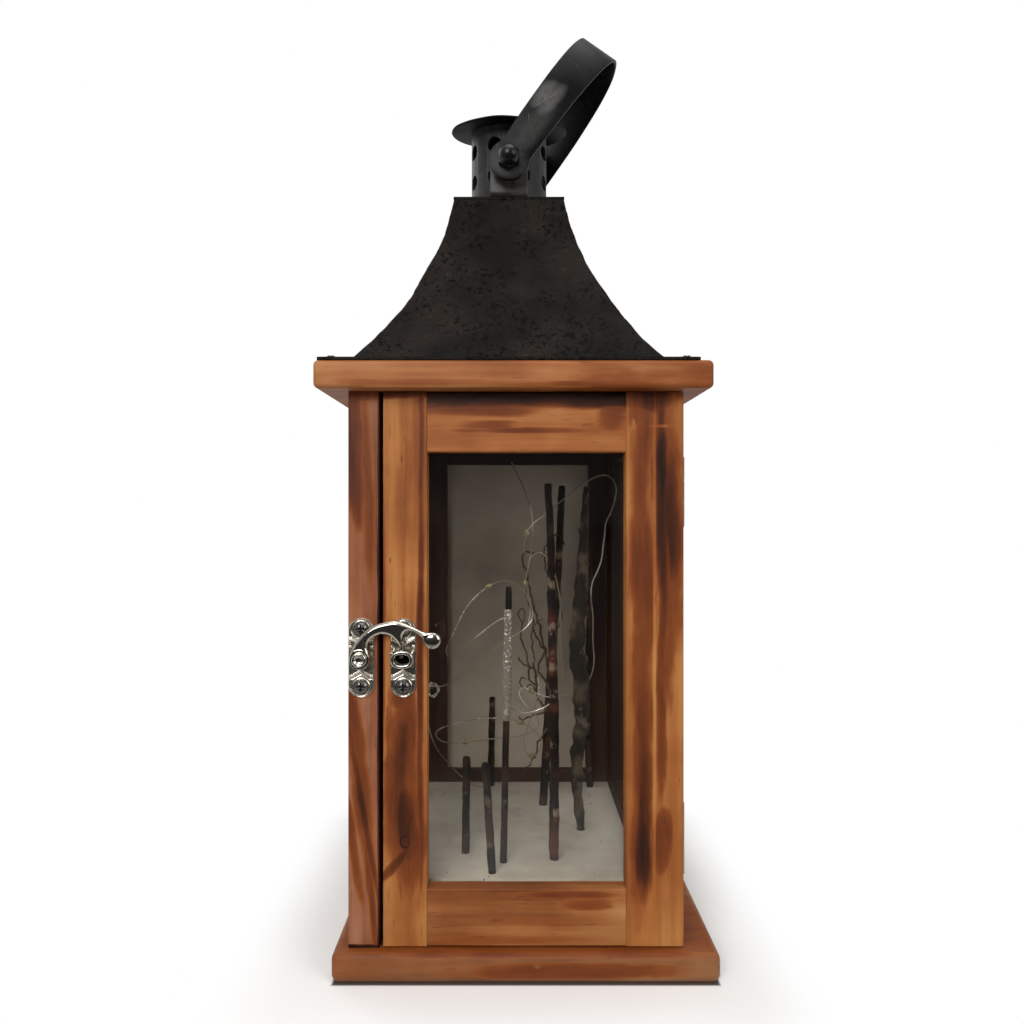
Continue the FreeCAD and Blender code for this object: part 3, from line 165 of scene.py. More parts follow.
class Shader:
    """A material and the nodes in it."""

    def __init__(self, name: str, tree: bpy.types.NodeTree | None = None) -> None:
        """Starts a material with no nodes, or clears the tree that is given."""
        self.material = None
        if tree is None:
            self.material = bpy.data.materials.new(name)
            self.material.use_nodes = True
            tree = self.material.node_tree
        self.tree = tree
        self.tree.nodes.clear()

    def node(self, kind: str, settings: dict | None = None, sockets: dict | None = None) -> bpy.types.Node:
        """Adds a node of any kind.

        Args:
            kind: The node's type.
            settings: Its options, and a ramp's stops as (place, colour) pairs, set first.
            sockets: Values or links for its inputs, by name or number.

        Returns:
            The node.
        """
        made = self.tree.nodes.new(kind)
        for key, setting in (settings or {}).items():
            if key == "stops":
                self._set_stops(made.color_ramp, setting)
            else:
                setattr(made, key, setting)
        for key, value in (sockets or {}).items():
            self._feed(made.inputs[key], value)
        return made

    def _set_stops(self, ramp: bpy.types.ColorRamp, stops: Stops) -> None:
        """Puts stops on a node's ramp, each with its place and colour."""
        while len(ramp.elements) < len(stops):
            ramp.elements.new(1.0)
        for element, (place, colour) in zip(ramp.elements, stops):
            element.position = place
            element.color = (*colour, 1.0)

    def _feed(self, socket: Socket, value: "Value | Socket | float | Colour") -> None:
        """Sets one input, or links it.

        Args:
            socket: The input.
            value: A number, a colour or vector, or what to link.
        """
        if isinstance(value, Value):
            self.tree.links.new(value.socket, socket)
        elif isinstance(value, Socket):
            self.tree.links.new(value, socket)
        elif socket.type == "RGBA" and len(value) == 3:
            socket.default_value = (*value, 1.0)
        else:
            socket.default_value = value

    def place(self) -> Socket:
        """Returns the place on the object, in metres of the frame."""
        return self.node("ShaderNodeTexCoord").outputs["Object"]

    def split(self, vector: Socket) -> tuple[Value, Value, Value]:
        """Returns a vector's three parts."""
        made = self.node("ShaderNodeSeparateXYZ", {}, {0: vector})
        return Value(self, made.outputs[0]), Value(self, made.outputs[1]), Value(self, made.outputs[2])

    def vector(self, operation: str, first: Socket, second: Place) -> Socket:
        """Returns a Vector Math node's result, from a vector that varies and a constant one."""
        return self.node("ShaderNodeVectorMath", {"operation": operation}, {0: first, 1: second}).outputs[0]

    def stretched(self, place: Socket, scale: Place, detail: float, rough: float) -> Value:
        """Returns a noise with its own scale along each axis."""
        return self.noise(self.vector("MULTIPLY", place, scale), 1.0, detail, rough)

    def noise(self, place: Socket, scale: float, detail: float = 3.0, rough: float = 0.5) -> Value:
        """Returns a noise about 0.5, with scale features to a metre and so many finer layers."""
        sockets = {"Vector": place, "Scale": scale, "Detail": detail, "Roughness": rough}
        return Value(self, self.node("ShaderNodeTexNoise", {}, sockets).outputs[0])

    def cells(self, place: Socket, scale: float) -> tuple[Value, Value]:
        """Returns the distance to the middle of a cell, scale of them to a metre, and each cell's number."""
        made = self.node("ShaderNodeTexVoronoi", {}, {"Vector": place, "Scale": scale})
        own = self.node("ShaderNodeSeparateColor", {}, {0: made.outputs["Color"]})
        return Value(self, made.outputs["Distance"]), Value(self, own.outputs[0])

    def mix(self, share: Value | float, low: "Socket | Colour", high: "Socket | Colour") -> Socket:
        """Returns two colours mixed, with a share of the second."""
        return self.node("ShaderNodeMix", {"data_type": "RGBA"}, {0: share, 6: low, 7: high}).outputs[2]

    def ramp(self, share: Value, stops: Stops) -> Socket:
        """Returns a colour from a ramp."""
        return self.node("ShaderNodeValToRGB", {"stops": stops}, {0: share}).outputs[0]

    def bump(self, height: Value, depth_mm: float, strength: float = 1.0) -> Socket:
        """Returns the normal, bent by a relief from 0 to 1 that is so deep and shows so strongly."""
        sockets = {"Height": height, "Distance": depth_mm * MM, "Strength": strength}
        return self.node("ShaderNodeBump", {}, sockets).outputs[0]

    def principled(self, sockets: dict) -> bpy.types.Node:
        """Returns a Principled node with these inputs."""
        return self.node("ShaderNodeBsdfPrincipled", {}, sockets)

    def finished(self, surface: Socket) -> Material:
        """Links the surface to the output and returns the material."""
        self.node("ShaderNodeOutputMaterial", {}, {"Surface": surface})
        return self.material

    def skin(self, sockets: dict) -> Material:
        """Finishes the material with one Principled node that has these inputs."""
        return self.finished(self.principled(sockets).outputs[0])

    def blend(self, share: Value | Socket, first: bpy.types.Node, second: bpy.types.Node) -> Socket:
        """Returns two surfaces mixed, with a share of the second."""
        sockets = {0: share, 1: first.outputs[0], 2: second.outputs[0]}
        return self.node("ShaderNodeMixShader", {}, sockets).outputs[0]


@dataclass(frozen=True)
class Finish:
    """A surface with one Principled node. Each kind of finish says what feeds the node."""
    name: str

    def sockets(self, shader: Shader, place: Socket) -> dict:
        """Returns the Principled node's inputs, for the place on the object."""
        raise NotImplementedError(self.name)

    def material(self) -> Material:
        """Returns the finish as a new material."""
        shader = Shader(self.name)
        return shader.skin(self.sockets(shader, shader.place()))


# Wood


@dataclass(frozen=True)
class Mark:
    """A streak on a board's face: its middle, its half sizes in mm, its depth and its lean."""
    across: float
    up: float
    half_across: float
    half_up: float
    depth: float = 1.0
    lean: float = 0.0

    def mask(self, across: Value, up: Value, warp: Value | float, bend: Value | float = 0.0) -> Value:
        """Returns how much of the mark is at a place.

        Args:
            across: The coordinate across the face.
            up: The coordinate up the face.
            warp: What makes the edge uneven.
            bend: How far the mark sways sideways, in its half sizes.

        Returns:
            A value from 0 to the mark's depth.
        """
        rise = up - self.up * MM
        wide = (across - self.across * MM - rise * self.lean) / (self.half_across * MM) + bend
        tall = rise / (self.half_up * MM)
        square = tall * tall
        reach = wide * wide + square * (square * 0.5 + 0.5) + warp
        return (1 - reach.step(-0.5, 2.6)) * self.depth


@dataclass(frozen=True)
class Knot:
    """A small knot: its middle and its ring's radius in mm."""
    across: float
    up: float
    radius: float

    def ring(self, across: Value, up: Value, warp: Value) -> Value:
        """Returns how dark the knot's ring is at a place.

        Args:
            across: The coordinate across the face.
            up: The coordinate up the face.
            warp: What makes the ring uneven.

        Returns:
            A value from 0 to 1.
        """
        wide = (across - self.across * MM) / (self.radius * MM)
        tall = (up - self.up * MM) / (self.radius * 1.25 * MM)
        return 1 - abs((wide * wide + tall * tall).root() + warp * 0.4 - 1).step(0.1, 0.5)


HONEY: Colour = tone(168, 108, 58)
HONEY_RANGE = (
    (0.0, tone(106, 54, 22)), (0.3, tone(140, 79, 35)), (0.55, tone(168, 105, 52)), (0.8, tone(184, 126, 70)),
    (1.0, tone(200, 146, 92)),
)
# The colours of the scorch marks, which also colour the marks that are painted shade.
SCORCH_AND_SHADE_RANGE = (
    (0.0, tone(156, 90, 42)), (0.2, tone(136, 72, 30)), (0.42, tone(106, 50, 18)), (0.66, tone(66, 29, 10)),
    (1.0, tone(20, 9, 5)),
)
# The room inside the case; its faces get a painted shade.
ROOM = ((-0.0525, -0.0494, 0.0290), (0.0525, 0.0530, 0.2052))


@dataclass(frozen=True)
class Pine(Finish):
    """Scorched and oiled pine, for one board."""
    grain: Axis
    face: Face
    seed: int
    honey: Colour = HONEY
    scorches_and_shade: tuple[Mark, ...] = ()
    pale_marks: tuple[Mark, ...] = ()
    knots: tuple[Knot, ...] = ()
    spread: float = 0.45
    # The colour that the faces inside the room are darkened towards: a painted shade.
    darkening: Colour = tone(25, 11, 4)
    soot: Colour = tone(70, 38, 20)

    def sockets(self, shader: Shader, place: Socket) -> dict:
        """Returns the board's inputs: grained wood, scorched and given painted shade along its marks, rings
        and fibres.
        """
        parts = shader.split(place)
        across, up = (parts[i] for i in self.face.value)
        shifted = shader.vector("ADD", place, (0.37 * self.seed, 0.61 * self.seed, 0.23 * self.seed))

        def streaks(along: float, sideways: float, detail: float, rough: float) -> Value:
            """Returns a noise drawn out along the grain."""
            scale = [sideways] * 3
            scale[self.grain.value] = along
            return shader.stretched(shifted, tuple(scale), detail, rough)

        soft = streaks(7, 52, 3, 0.55)
        fibre = streaks(26, 560, 4, 0.6)
        cloud = shader.noise(shifted, 30, 3, 0.55)
        fleck = streaks(130, 1100, 2, 0.5).step(0.66, 0.74)
        side = [part for i, part in enumerate(parts) if i != self.grain.value]
        lines = ((side[0] + side[1] * 0.6) * 1150 + streaks(5, 26, 2, 0.5) * 16).sine()
        shade = soft * 1.3 + cloud * 0.9 - 0.6 + lines * 0.06 + (fibre - 0.5) * 0.5
        wood = shader.ramp(shade, self.tinted(HONEY_RANGE))

        bend = (streaks(24, 60, 3, 0.55) - 0.5) * 2.6
        warp = (streaks(34, 190, 4, 0.6) - 0.5) * 2.4 + (fibre - 0.5) * 0.8 + (cloud - 0.5) * 1.8
        scorch_and_shade = streaks(8, 40, 3, 0.55).step(0.5, 0.86) * self.spread
        # Some marks are painted shade: the shadow under the top board's overhang and the shade in the gaps
        # round the left post.
        for mark in self.scorches_and_shade:
            scorch_and_shade = scorch_and_shade.most(mark.mask(across, up, warp, bend))
        for knot in self.knots:
            scorch_and_shade = scorch_and_shade.most(knot.ring(across, up, warp) * 0.85)
        for mark in self.pale_marks:
            scorch_and_shade = scorch_and_shade * (1 - mark.mask(across, up, warp * 0.2))
        scorch_and_shade = scorch_and_shade * (fibre * 0.7 + 0.65) * (streaks(20, 110, 3, 0.6) * 1.1 + 0.45)
        colour = shader.mix(scorch_and_shade.step(0.0, 0.3), wood, shader.ramp(scorch_and_shade, SCORCH_AND_SHADE_RANGE))
        colour = shader.mix(fleck * 0.4, colour, self.soot)
        # Painted shade: the faces inside the room go most of the way to a dark brown.
        colour = shader.mix(self.inside(parts), colour, shader.mix(0.88, colour, self.darkening))
        relief = fibre * 0.7 + lines * 0.08 - fleck * 0.4 + soft * 0.3
        return {
            "Base Color": colour,
            "Roughness": 0.55 - scorch_and_shade * 0.08 + (fibre - 0.5) * 0.25,
            "Specular IOR Level": 0.22,
            "Normal": shader.bump(relief, 0.12, 0.7),
        }

    def tinted(self, stops: Stops) -> list[tuple[float, Colour]]:
        """Returns a ramp's stops, shifted from the usual honey tone to this board's."""
        tint = tuple(own / usual for own, usual in zip(self.honey, HONEY))
        return [(share, tuple(c * k for c, k in zip(colour, tint))) for share, colour in stops]

    def inside(self, parts: Sequence[Value]) -> Value:
        """Returns 1 on the faces that look into the room, which get a painted shade, from a place's parts."""
        share = None
        for part, low, high in zip(parts, *ROOM):
            here = part.step(low - 2e-4, low - 1e-4) * (1 - part.step(high + 1e-4, high + 2e-4))
            share = here if share is None else share * here
        return share


# Metals


@dataclass(frozen=True)
class BlackIron(Finish):
    """Hammered black roof sheet with dust and rust-brown specks."""
    base: Colour = tone(14, 11, 9)
    dusty: Colour = tone(34, 28, 23)
    rust: Colour = tone(72, 56, 42)
    pitted: Colour = tone(2, 2, 2)

    def sockets(self, shader: Shader, place: Socket) -> dict:
        """Returns the inputs: dust in clouds, then specks of rust, then dark pits."""
        cloud = shader.noise(place, 45, 4, 0.6)
        grit = shader.noise(place, 420, 4, 0.65)
        speck = shader.noise(place, 520, 2, 0.5).step(0.62, 0.72)
        pit = shader.noise(place, 560, 3, 0.6).step(0.56, 0.66)
        pit = pit * shader.noise(place, 75, 2, 0.5).step(0.36, 0.6)
        colour = shader.mix(cloud.step(0.3, 0.72), self.base, self.dusty)
        colour = shader.mix(speck * (cloud.step(0.42, 0.66) * 0.25), colour, self.rust)
        colour = shader.mix(pit, colour, self.pitted)
        relief = grit * 0.45 + shader.noise(place, 150, 3, 0.6) * 0.9 - pit * 0.6
        return {
            "Base Color": colour,
            "Roughness": 0.5 + grit * 0.25 - speck * 0.1,
            "Specular IOR Level": 0.08,
            "Normal": shader.bump(relief, 0.6),
        }


@dataclass(frozen=True)
class BlackPaint(Finish):
    """Satin black paint on strap and tube, with worn spots that show grey-brown metal."""
    base: Colour = tone(20, 20, 20)
    worn: Colour = tone(104, 92, 80)
    pitted: Colour = tone(3, 3, 3)
    scuff_and_highlight_grey: Colour = tone(150, 148, 146)
    wear: float = 0.35
    roughness: float = 0.36
    shine: float = 0.3
    scuffs_and_highlights: tuple[Mark, ...] = ()

    def sockets(self, shader: Shader, place: Socket) -> dict:
        """Returns the inputs: mottled paint, rubbed and scratched, then pitted, then given a scuff and
        painted highlights on its front half.
        """
        cloud = shader.noise(place, 60, 3, 0.55)
        grain = shader.noise(place, 900, 3, 0.6)
        scratch = shader.stretched(place, (1600.0, 1400.0, 90.0), 2, 0.5).step(0.7, 0.78)
        scratch = scratch * cloud.step(0.5, 0.66)
        rub = shader.noise(place, 190, 4, 0.65).step(0.6, 0.74) * self.wear
        mottle = shader.noise(place, 340, 4, 0.7)
        pale = cloud.step(0.4, 0.7) * mottle.step(0.3, 0.62)
        colour = shader.mix(pale, self.base, scaled(self.base, 3))
        colour = shader.mix((rub * 0.55).most(scratch * 0.8), colour, self.worn)
        colour = shader.mix(mottle.step(0.6, 0.7) * 0.8, colour, self.pitted)
        # Painted highlights: pale patches where the strap catches the light, on its front half only, with one
        # real scratch among them.
        if self.scuffs_and_highlights:
            across, deep, up = shader.split(place)
            uneven = (rub + mottle - 0.5) * 3
            share = reduce(Value.most, (mark.mask(across, up, uneven) for mark in self.scuffs_and_highlights))
            share = share * (1 - deep.step(-0.02, -0.01)) * (mottle.step(0.3, 0.66) * 0.5 + 0.4)
            colour = shader.mix(share, colour, self.scuff_and_highlight_grey)
        return {
            "Base Color": colour,
            "Metallic": scratch * 0.6,
            "Roughness": self.roughness + (cloud - 0.5) * 0.2 + grain * 0.08,
            "Specular IOR Level": self.shine,
            "Normal": shader.bump(grain * 0.4 + cloud * 0.6 + mottle, 0.08, 0.8),
        }


@dataclass(frozen=True)
class Recess:
    """An oval hollow that gets a painted shade: its middle and half sizes on the front, in mm, and where it
    is in Y.
    """
    across: float
    up: float
    half_across: float
    half_up: float
    behind: float

    def mask(self, shader: Shader, place: Socket) -> Value:
        """Returns 1 in the hollow and 0 round it."""
        across, deep, up = shader.split(place)
        wide = (across - self.across * MM) / (self.half_across * MM)
        tall = (up - self.up * MM) / (self.half_up * MM)
        level = self.behind * MM
        return (1 - (wide * wide + tall * tall).step(0.85, 1.1)) * deep.step(level, level + 4e-4)


@dataclass(frozen=True)
class BrightMetal(Finish):
    """Plated or plain metal with faint clouding, fine scratches and grime."""
    base: Colour
    roughness: float
    grime: float = 0.3
    recess: Recess | None = None
    grimy: Colour = tone(66, 58, 50)
    shaded: Colour = tone(18, 13, 10)

    def sockets(self, shader: Shader, place: Socket) -> dict:
        """Returns the inputs: clouded metal with a film of grime, and a painted shade in its recess."""
        cloud = shader.noise(place, 160, 3, 0.55)
        scratch = shader.stretched(place, (260.0, 500.0, 2600.0), 3, 0.6)
        film = shader.noise(place, 420, 4, 0.65).step(0.56, 0.78) * self.grime
        colour = shader.mix(cloud.step(0.3, 0.75), self.base, scaled(self.base, 0.72))
        colour = shader.mix(film, colour, self.grimy)
        # Painted shade: the hollow is darkened to a dark brown.
        if self.recess:
            colour = shader.mix(self.recess.mask(shader, place), colour, self.shaded)
        return {
            "Base Color": colour,
            "Metallic": 1 - film * 0.6,
            "Roughness": self.roughness + (cloud - 0.5) * 0.12 + film * 0.3,
            "Normal": shader.bump(scratch, 0.012, 0.6),
        }


# Glass, resin and the rest


@dataclass(frozen=True)
class ClearGlass(Finish):
    """Window glass that lets the light through to what is behind it."""
    body: Colour = tone(247, 247, 246)
    shadow: Colour = tone(242, 242, 241)

    def material(self) -> Material:
        """Returns the glass, which only a shadow ray passes without bending."""
        shader = Shader(self.name)
        glass = shader.principled({
            "Base Color": self.body, "Roughness": 0.02, "IOR": 1.45, "Transmission Weight": 1.0,
        })
        clear = shader.node("ShaderNodeBsdfTransparent", {}, {"Color": self.shadow})
        path = shader.node("ShaderNodeLightPath")
        return shader.finished(shader.blend(path.outputs["Is Shadow Ray"], glass, clear))


@dataclass(frozen=True)
class SmokedPane(Finish):
    """The back pane, filmed in warm grey so that it hides what is behind it."""
    dim: Colour = tone(102, 91, 78)
    lit: Colour = tone(205, 190, 170)

    def sockets(self, shader: Shader, place: Socket) -> dict:
        """Returns the inputs: a faint film, and painted light that makes the pane paler towards its foot and
        top.
        """
        height = shader.split(place)[2]
        film = shader.noise(place, 70, 3, 0.5)
        # Painted light and reflection: paler at the foot and towards the top.
        pale = height.step(0.12, 0.045) * 0.32 + height.step(0.13, 0.19) * 0.8 + film * 0.3
        return {
            "Base Color": shader.mix(pale, self.dim, self.lit),
            "Roughness": 0.3 + film * 0.15,
            "Specular IOR Level": 0.4,
        }


@dataclass(frozen=True)
class Foam(Finish):
    """The pale floor bed: dense foam with stains, grit and a few glitter specks."""
    pale: Colour = tone(190, 180, 164)
    dull: Colour = tone(168, 157, 140)
    stained: Colour = tone(138, 122, 102)
    glitter: Colour = tone(236, 236, 240)

    def sockets(self, shader: Shader, place: Socket) -> dict:
        """Returns the inputs: clouded foam with stains, and single cells that glint."""
        cloud = shader.noise(place, 34, 4, 0.6)
        grain = shader.noise(place, 1300, 3, 0.6)
        darkening = shader.noise(shader.vector("ADD", place, (0.4, 0.2, 0.7)), 62, 3, 0.6).step(0.55, 0.8)
        distance, own = shader.cells(place, 520)
        glint = own.step(0.955, 0.96) * (1 - distance.step(0.22, 0.34))
        colour = shader.mix(cloud.step(0.3, 0.7), self.pale, self.dull)
        colour = shader.mix(darkening * 0.5, colour, self.stained)
        colour = shader.mix(glint, colour, self.glitter)
        return {
            "Base Color": colour,
            "Metallic": glint * 0.8,
            "Roughness": 0.85 - glint * 0.65,
            "Normal": shader.bump(grain * 0.5 + cloud, 0.25, 0.6),
        }


@dataclass(frozen=True)
class Bark(Finish):
    """Bark of one twig: two tones drawn out along it, fissures and pale patches."""
    dark: Colour
    light: Colour
    patch: Colour = tone(150, 132, 112)
    patches: float = 0.3
    levels: Pair = (0.0, 300.0)
    knuckles: tuple[float, ...] = ()
    fissure: Colour = tone(22, 14, 9)

    def sockets(self, shader: Shader, place: Socket) -> dict:
        """Returns the bark's inputs, with its lighter tone between two levels only."""
        strand = shader.stretched(place, (900.0, 900.0, 130.0), 4, 0.65)
        blotch = shader.noise(place, 210, 3, 0.6)
        patch = shader.noise(shader.vector("ADD", place, (0.9, 0.1, 0.3)), 150, 3, 0.55).step(0.6, 0.68)
        zone = shader.noise(shader.vector("ADD", place, (0.2, 0.7, 0.5)), 75, 2, 0.5).step(0.46, 0.6)
        low, high = (level * MM for level in self.levels)
        height = shader.split(place)[2]
        reach = height.step(low - 8e-3, low + 8e-3) * (1 - height.step(high - 8e-3, high + 8e-3))
        for level in self.knuckles:
            near = abs(height - level * MM).step(2.2e-3, 8e-4)
            patch = patch.most(near * (blotch + strand * 0.5).step(0.7, 0.84))
        lit = (strand * 0.7 + blotch * 0.5) * (zone * reach * 0.92 + 0.08)
        colour = shader.mix(lit, self.dark, self.light)
        colour = shader.mix(patch * self.patches * (reach * 0.9 + 0.1), colour, self.patch)
        colour = shader.mix(strand.step(0.44, 0.3) * 0.7, colour, self.fissure)
        return {
            "Base Color": colour,
            "Roughness": 0.75 + blotch * 0.1,
            "Specular IOR Level": 0.18,
            "Normal": shader.bump(strand + blotch * 0.6, 0.3, 0.9),
        }


@dataclass(frozen=True)
class Glitter(Finish):
    """The silvery sheath round one twig, set with bright grains."""
    dull: Colour = tone(116, 108, 94)
    bright: Colour = tone(232, 228, 218)

    def sockets(self, shader: Shader, place: Socket) -> dict:
        """Returns the inputs: grains that are bright on the sheath's upper part."""
        distance, own = shader.cells(place, 1500)
        height = shader.split(place)[2]
        share = own.step(0.72, 0.95) * (height.step(0.094, 0.112) * 0.75 + 0.25)
        return {
            "Base Color": shader.mix(share, self.dull, self.bright),
            "Metallic": share * 0.8,
            "Roughness": 0.62 - share * 0.4,
            "Normal": shader.bump(own + distance, 0.25),
        }


@dataclass(frozen=True)
class BareWire(Finish):
    """Thin bare wire, dull brown with bright stretches and painted highlights."""
    bright: Colour = tone(244, 240, 228)
    dull: Colour = tone(140, 124, 100)
    # Painted highlights: where the wire catches the light, as marks on the front.
    painted_glints: tuple[Mark, ...] = (
        Mark(-18.5, 124.5, 4, 8), Mark(-8, 117.5, 7, 4.5), Mark(5.4, 117.5, 3.5, 2.5), Mark(8, 86, 6, 4),
        Mark(-12, 75.5, 3, 2), Mark(-33.7, 88, 4, 5, 0.8), Mark(-23.5, 114.5, 2, 2, 0.8),
        Mark(-22, 71, 5, 2, 0.6), Mark(7, 160, 5, 5, 0.5), Mark(36, 140, 4, 12, 0.6),
    )

    def sockets(self, shader: Shader, place: Socket) -> dict:
        """Returns the inputs: a dull wire with painted highlights at set places, and bright here and there
        between.
        """
        across, _, up = shader.split(place)
        fine = shader.noise(place, 700, 2, 0.5)
        share = shader.noise(place, 120, 2, 0.5).step(0.62, 0.74) * 0.5
        for mark in self.painted_glints:
            share = share.most(mark.mask(across, up, (fine - 0.5) * 2))
        return {
            "Base Color": shader.mix(share, self.dull, self.bright),
            "Metallic": 0.3 + share * 0.65,
            "Roughness": 0.4 - share * 0.22 + fine * 0.08,
        }


@dataclass(frozen=True)
class Resin(Finish):
    """Clear resin of the light drops, unlit."""
    deep: Colour = tone(104, 88, 56)
    pale: Colour = tone(190, 172, 128)

    def sockets(self, shader: Shader, place: Socket) -> dict:
        """Returns the inputs: half-clear resin under a glossy coat."""
        glint = shader.noise(place, 900, 2, 0.5)
        return {
            "Base Color": shader.mix(glint, self.deep, self.pale),
            "Roughness": 0.08 + glint * 0.12,
            "Coat Weight": 1.0,
            "Coat Roughness": 0.03,
            "Transmission Weight": 0.35,
        }


@dataclass(frozen=True)
class Plastic(Finish):
    """Moulded plastic with a fine grain and faint handling marks."""
    base: Colour

    def sockets(self, shader: Shader, place: Socket) -> dict:
        """Returns the inputs: faint clouds and a fine grain."""
        cloud = shader.noise(place, 90, 3, 0.5)
        grain = shader.noise(place, 2600, 2, 0.5)
        return {
            "Base Color": shader.mix(cloud, self.base, scaled(self.base, 0.86)),
            "Roughness": 0.42 + cloud * 0.15,
            "Normal": shader.bump(grain, 0.03, 0.6),
        }


@dataclass(frozen=True)
class CellJacket(Finish):
    """A plain cell's jacket: dark with a copper-coloured end."""
    split_y: float
    jacket: Colour = tone(38, 38, 42)
    copper: Colour = tone(184, 120, 74)

    def sockets(self, shader: Shader, place: Socket) -> dict:
        """Returns the inputs: the jacket before the split and the copper behind it."""
        deep = shader.split(place)[1]
        cloud = shader.noise(place, 120, 3, 0.5)
        end = deep.step(self.split_y, self.split_y + 0.0004)
        return {
            "Base Color": shader.mix(end, self.jacket, self.copper),
            "Metallic": end * 0.7 + 0.1,
            "Roughness": 0.3 + cloud * 0.1,
            "Normal": shader.bump(cloud, 0.02, 0.5),
        }


NICKEL = BrightMetal("nickel", tone(214, 207, 194), 0.13, 0.2)
PLATE_NICKEL = BrightMetal("plate_nickel", tone(222, 214, 198), 0.27, 0.25)
CATCH_NICKEL = BrightMetal(
    "catch_nickel", tone(220, 212, 198), 0.22, 0.2, Recess(-39.39, 111.9, 2.9, 2.15, -62.6),
)
STEEL = BrightMetal("plain_steel", tone(150, 146, 140), 0.26, 0.4)
DARK_STEEL = BrightMetal("dark_screw_steel", tone(120, 117, 114), 0.24, 0.5)
TAB_STEEL = BrightMetal("tab_steel", tone(168, 160, 148), 0.34, 0.4)


# Mesh helpers


def node(name: str) -> Object:
    """Returns a CAD node's object."""
    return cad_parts[name]


def dress(material: Material, *names: str) -> None:
    """Gives the CAD nodes of these names a material."""
    for name in names:
        mesh = node(name).data
        mesh.materials.clear()
        mesh.materials.append(material)
        LOG.info("dressed %s in %s", name, material.name)


@dataclass(frozen=True)
class Piece:
    """A new piece: what it rides on and what it replaces, and a finish slot's name that is not used."""
    name: str
    slot: str
    replaces: tuple[str, ...] = ()
    body: Body = Body.LANTERN

    def settle(self, item: Object, material: Material) -> Object:
        """Puts an object into the scene as this piece.

        Args:
            item: A mesh or curve object whose data is in the frame.
            material: Its material.

        Returns:
            The same object.
        """
        linked(item)
        item.data.materials.clear()
        item.data.materials.append(material)
        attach(item, self.body.value)
        if self.replaces:
            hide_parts(*self.replaces)
        LOG.info("made %s", self.name)
        return item

    def from_mesh(self, mesh: Mesh, material: Material, sharp: float = 40.0) -> Object:
        """Makes the piece from a mesh.

        Args:
            mesh: The mesh, in the frame.
            material: Its material.
            sharp: The angle in degrees above which an edge stays sharp.

        Returns:
            The object.
        """
        mesh.name = self.name
        mesh.shade_smooth()
        mesh.set_sharp_from_angle(angle=math.radians(sharp))
        return self.settle(bpy.data.objects.new(self.name, mesh), material)


def linked(item: Object) -> Object:
    """Puts an object into the scene and returns it."""
    bpy.context.scene.collection.objects.link(item)
    return item


def applied(item: Object) -> Mesh:
    """Returns an object's mesh with its modifiers applied, and removes the object."""
    linked(item)
    graph = bpy.context.evaluated_depsgraph_get()
    graph.update()
    mesh = bpy.data.meshes.new_from_object(item.evaluated_get(graph), depsgraph=graph)
    mesh.transform(item.matrix_world)
    bpy.data.objects.remove(item)
    return mesh


def mesh_from(work: bmesh.types.BMesh, name: str) -> Mesh:
    """Returns a new mesh with what a bmesh holds, and frees the bmesh."""
    mesh = bpy.data.meshes.new(name)
    work.to_mesh(mesh)
    work.free()
    return mesh


def opened(name: str) -> bmesh.types.BMesh:
    """Returns a CAD node's mesh as a bmesh with its seams closed."""
    work = bmesh.new()
    work.from_mesh(node(name).data)
    bmesh.ops.remove_doubles(work, verts=work.verts, dist=2e-6)
    return work


def softened(name: str, width_mm: float, segments: int = 2) -> Mesh:
    """Copies a CAD node's mesh with its sharp edges rounded.

    Args:
        name: The node.
        width_mm: The rounding's width.
        segments: How many faces the rounding has.

    Returns:
        The new mesh.
    """
    work = opened(name)
    bmesh.ops.dissolve_limit(
        work, angle_limit=math.radians(0.5), verts=work.verts, edges=work.edges,
        use_dissolve_boundaries=False,
    )
    item = bpy.data.objects.new(name + "_soft", mesh_from(work, name + "_soft"))
    bevel = item.modifiers.new("edge", "BEVEL")
    bevel.width = width_mm * MM
    bevel.segments = segments
    bevel.limit_method = "ANGLE"
    bevel.angle_limit = math.radians(35)
    return applied(item)


def mesh_of(points: Sequence[Place], faces: Sequence[Sequence[int]]) -> Mesh:
    """Returns a mesh with outward normals from its corners, in metres, and each face's corners."""
    mesh = bpy.data.meshes.new("part")
    mesh.from_pydata([tuple(p) for p in points], [], [tuple(f) for f in faces])
    work = bmesh.new()
    work.from_mesh(mesh)
    bmesh.ops.remove_doubles(work, verts=work.verts, dist=1e-7)
    bmesh.ops.recalc_face_normals(work, faces=work.faces)
    work.to_mesh(mesh)
    work.free()
    return mesh


def rings_mesh(rings: Sequence[Sequence[Place]], closed: bool = False) -> Mesh:
    """Joins rings of points into one skin.

    Args:
        rings: Rings with the same number of points each.
        closed: Whether the last ring joins the first, else the ends are capped.

    Returns:
        The mesh.
    """
    count = len(rings[0])
    points = [p for ring in rings for p in ring]
    faces = []
    last = len(rings) if closed else len(rings) - 1
    for i in range(last):
        here, there = i * count, (i + 1) % len(rings) * count
        for j in range(count):
            k = (j + 1) % count
            faces.append((here + j, here + k, there + k, there + j))
    if not closed:
        faces.append(tuple(range(count))[::-1])
        faces.append(tuple((len(rings) - 1) * count + j for j in range(count)))
    return mesh_of(points, faces)


def joined(meshes: Iterable[Mesh]) -> Mesh:
    """Joins meshes into one new mesh and removes them."""
    work = bmesh.new()
    for mesh in meshes:
        work.from_mesh(mesh)
        bpy.data.meshes.remove(mesh)
    return mesh_from(work, "joined")


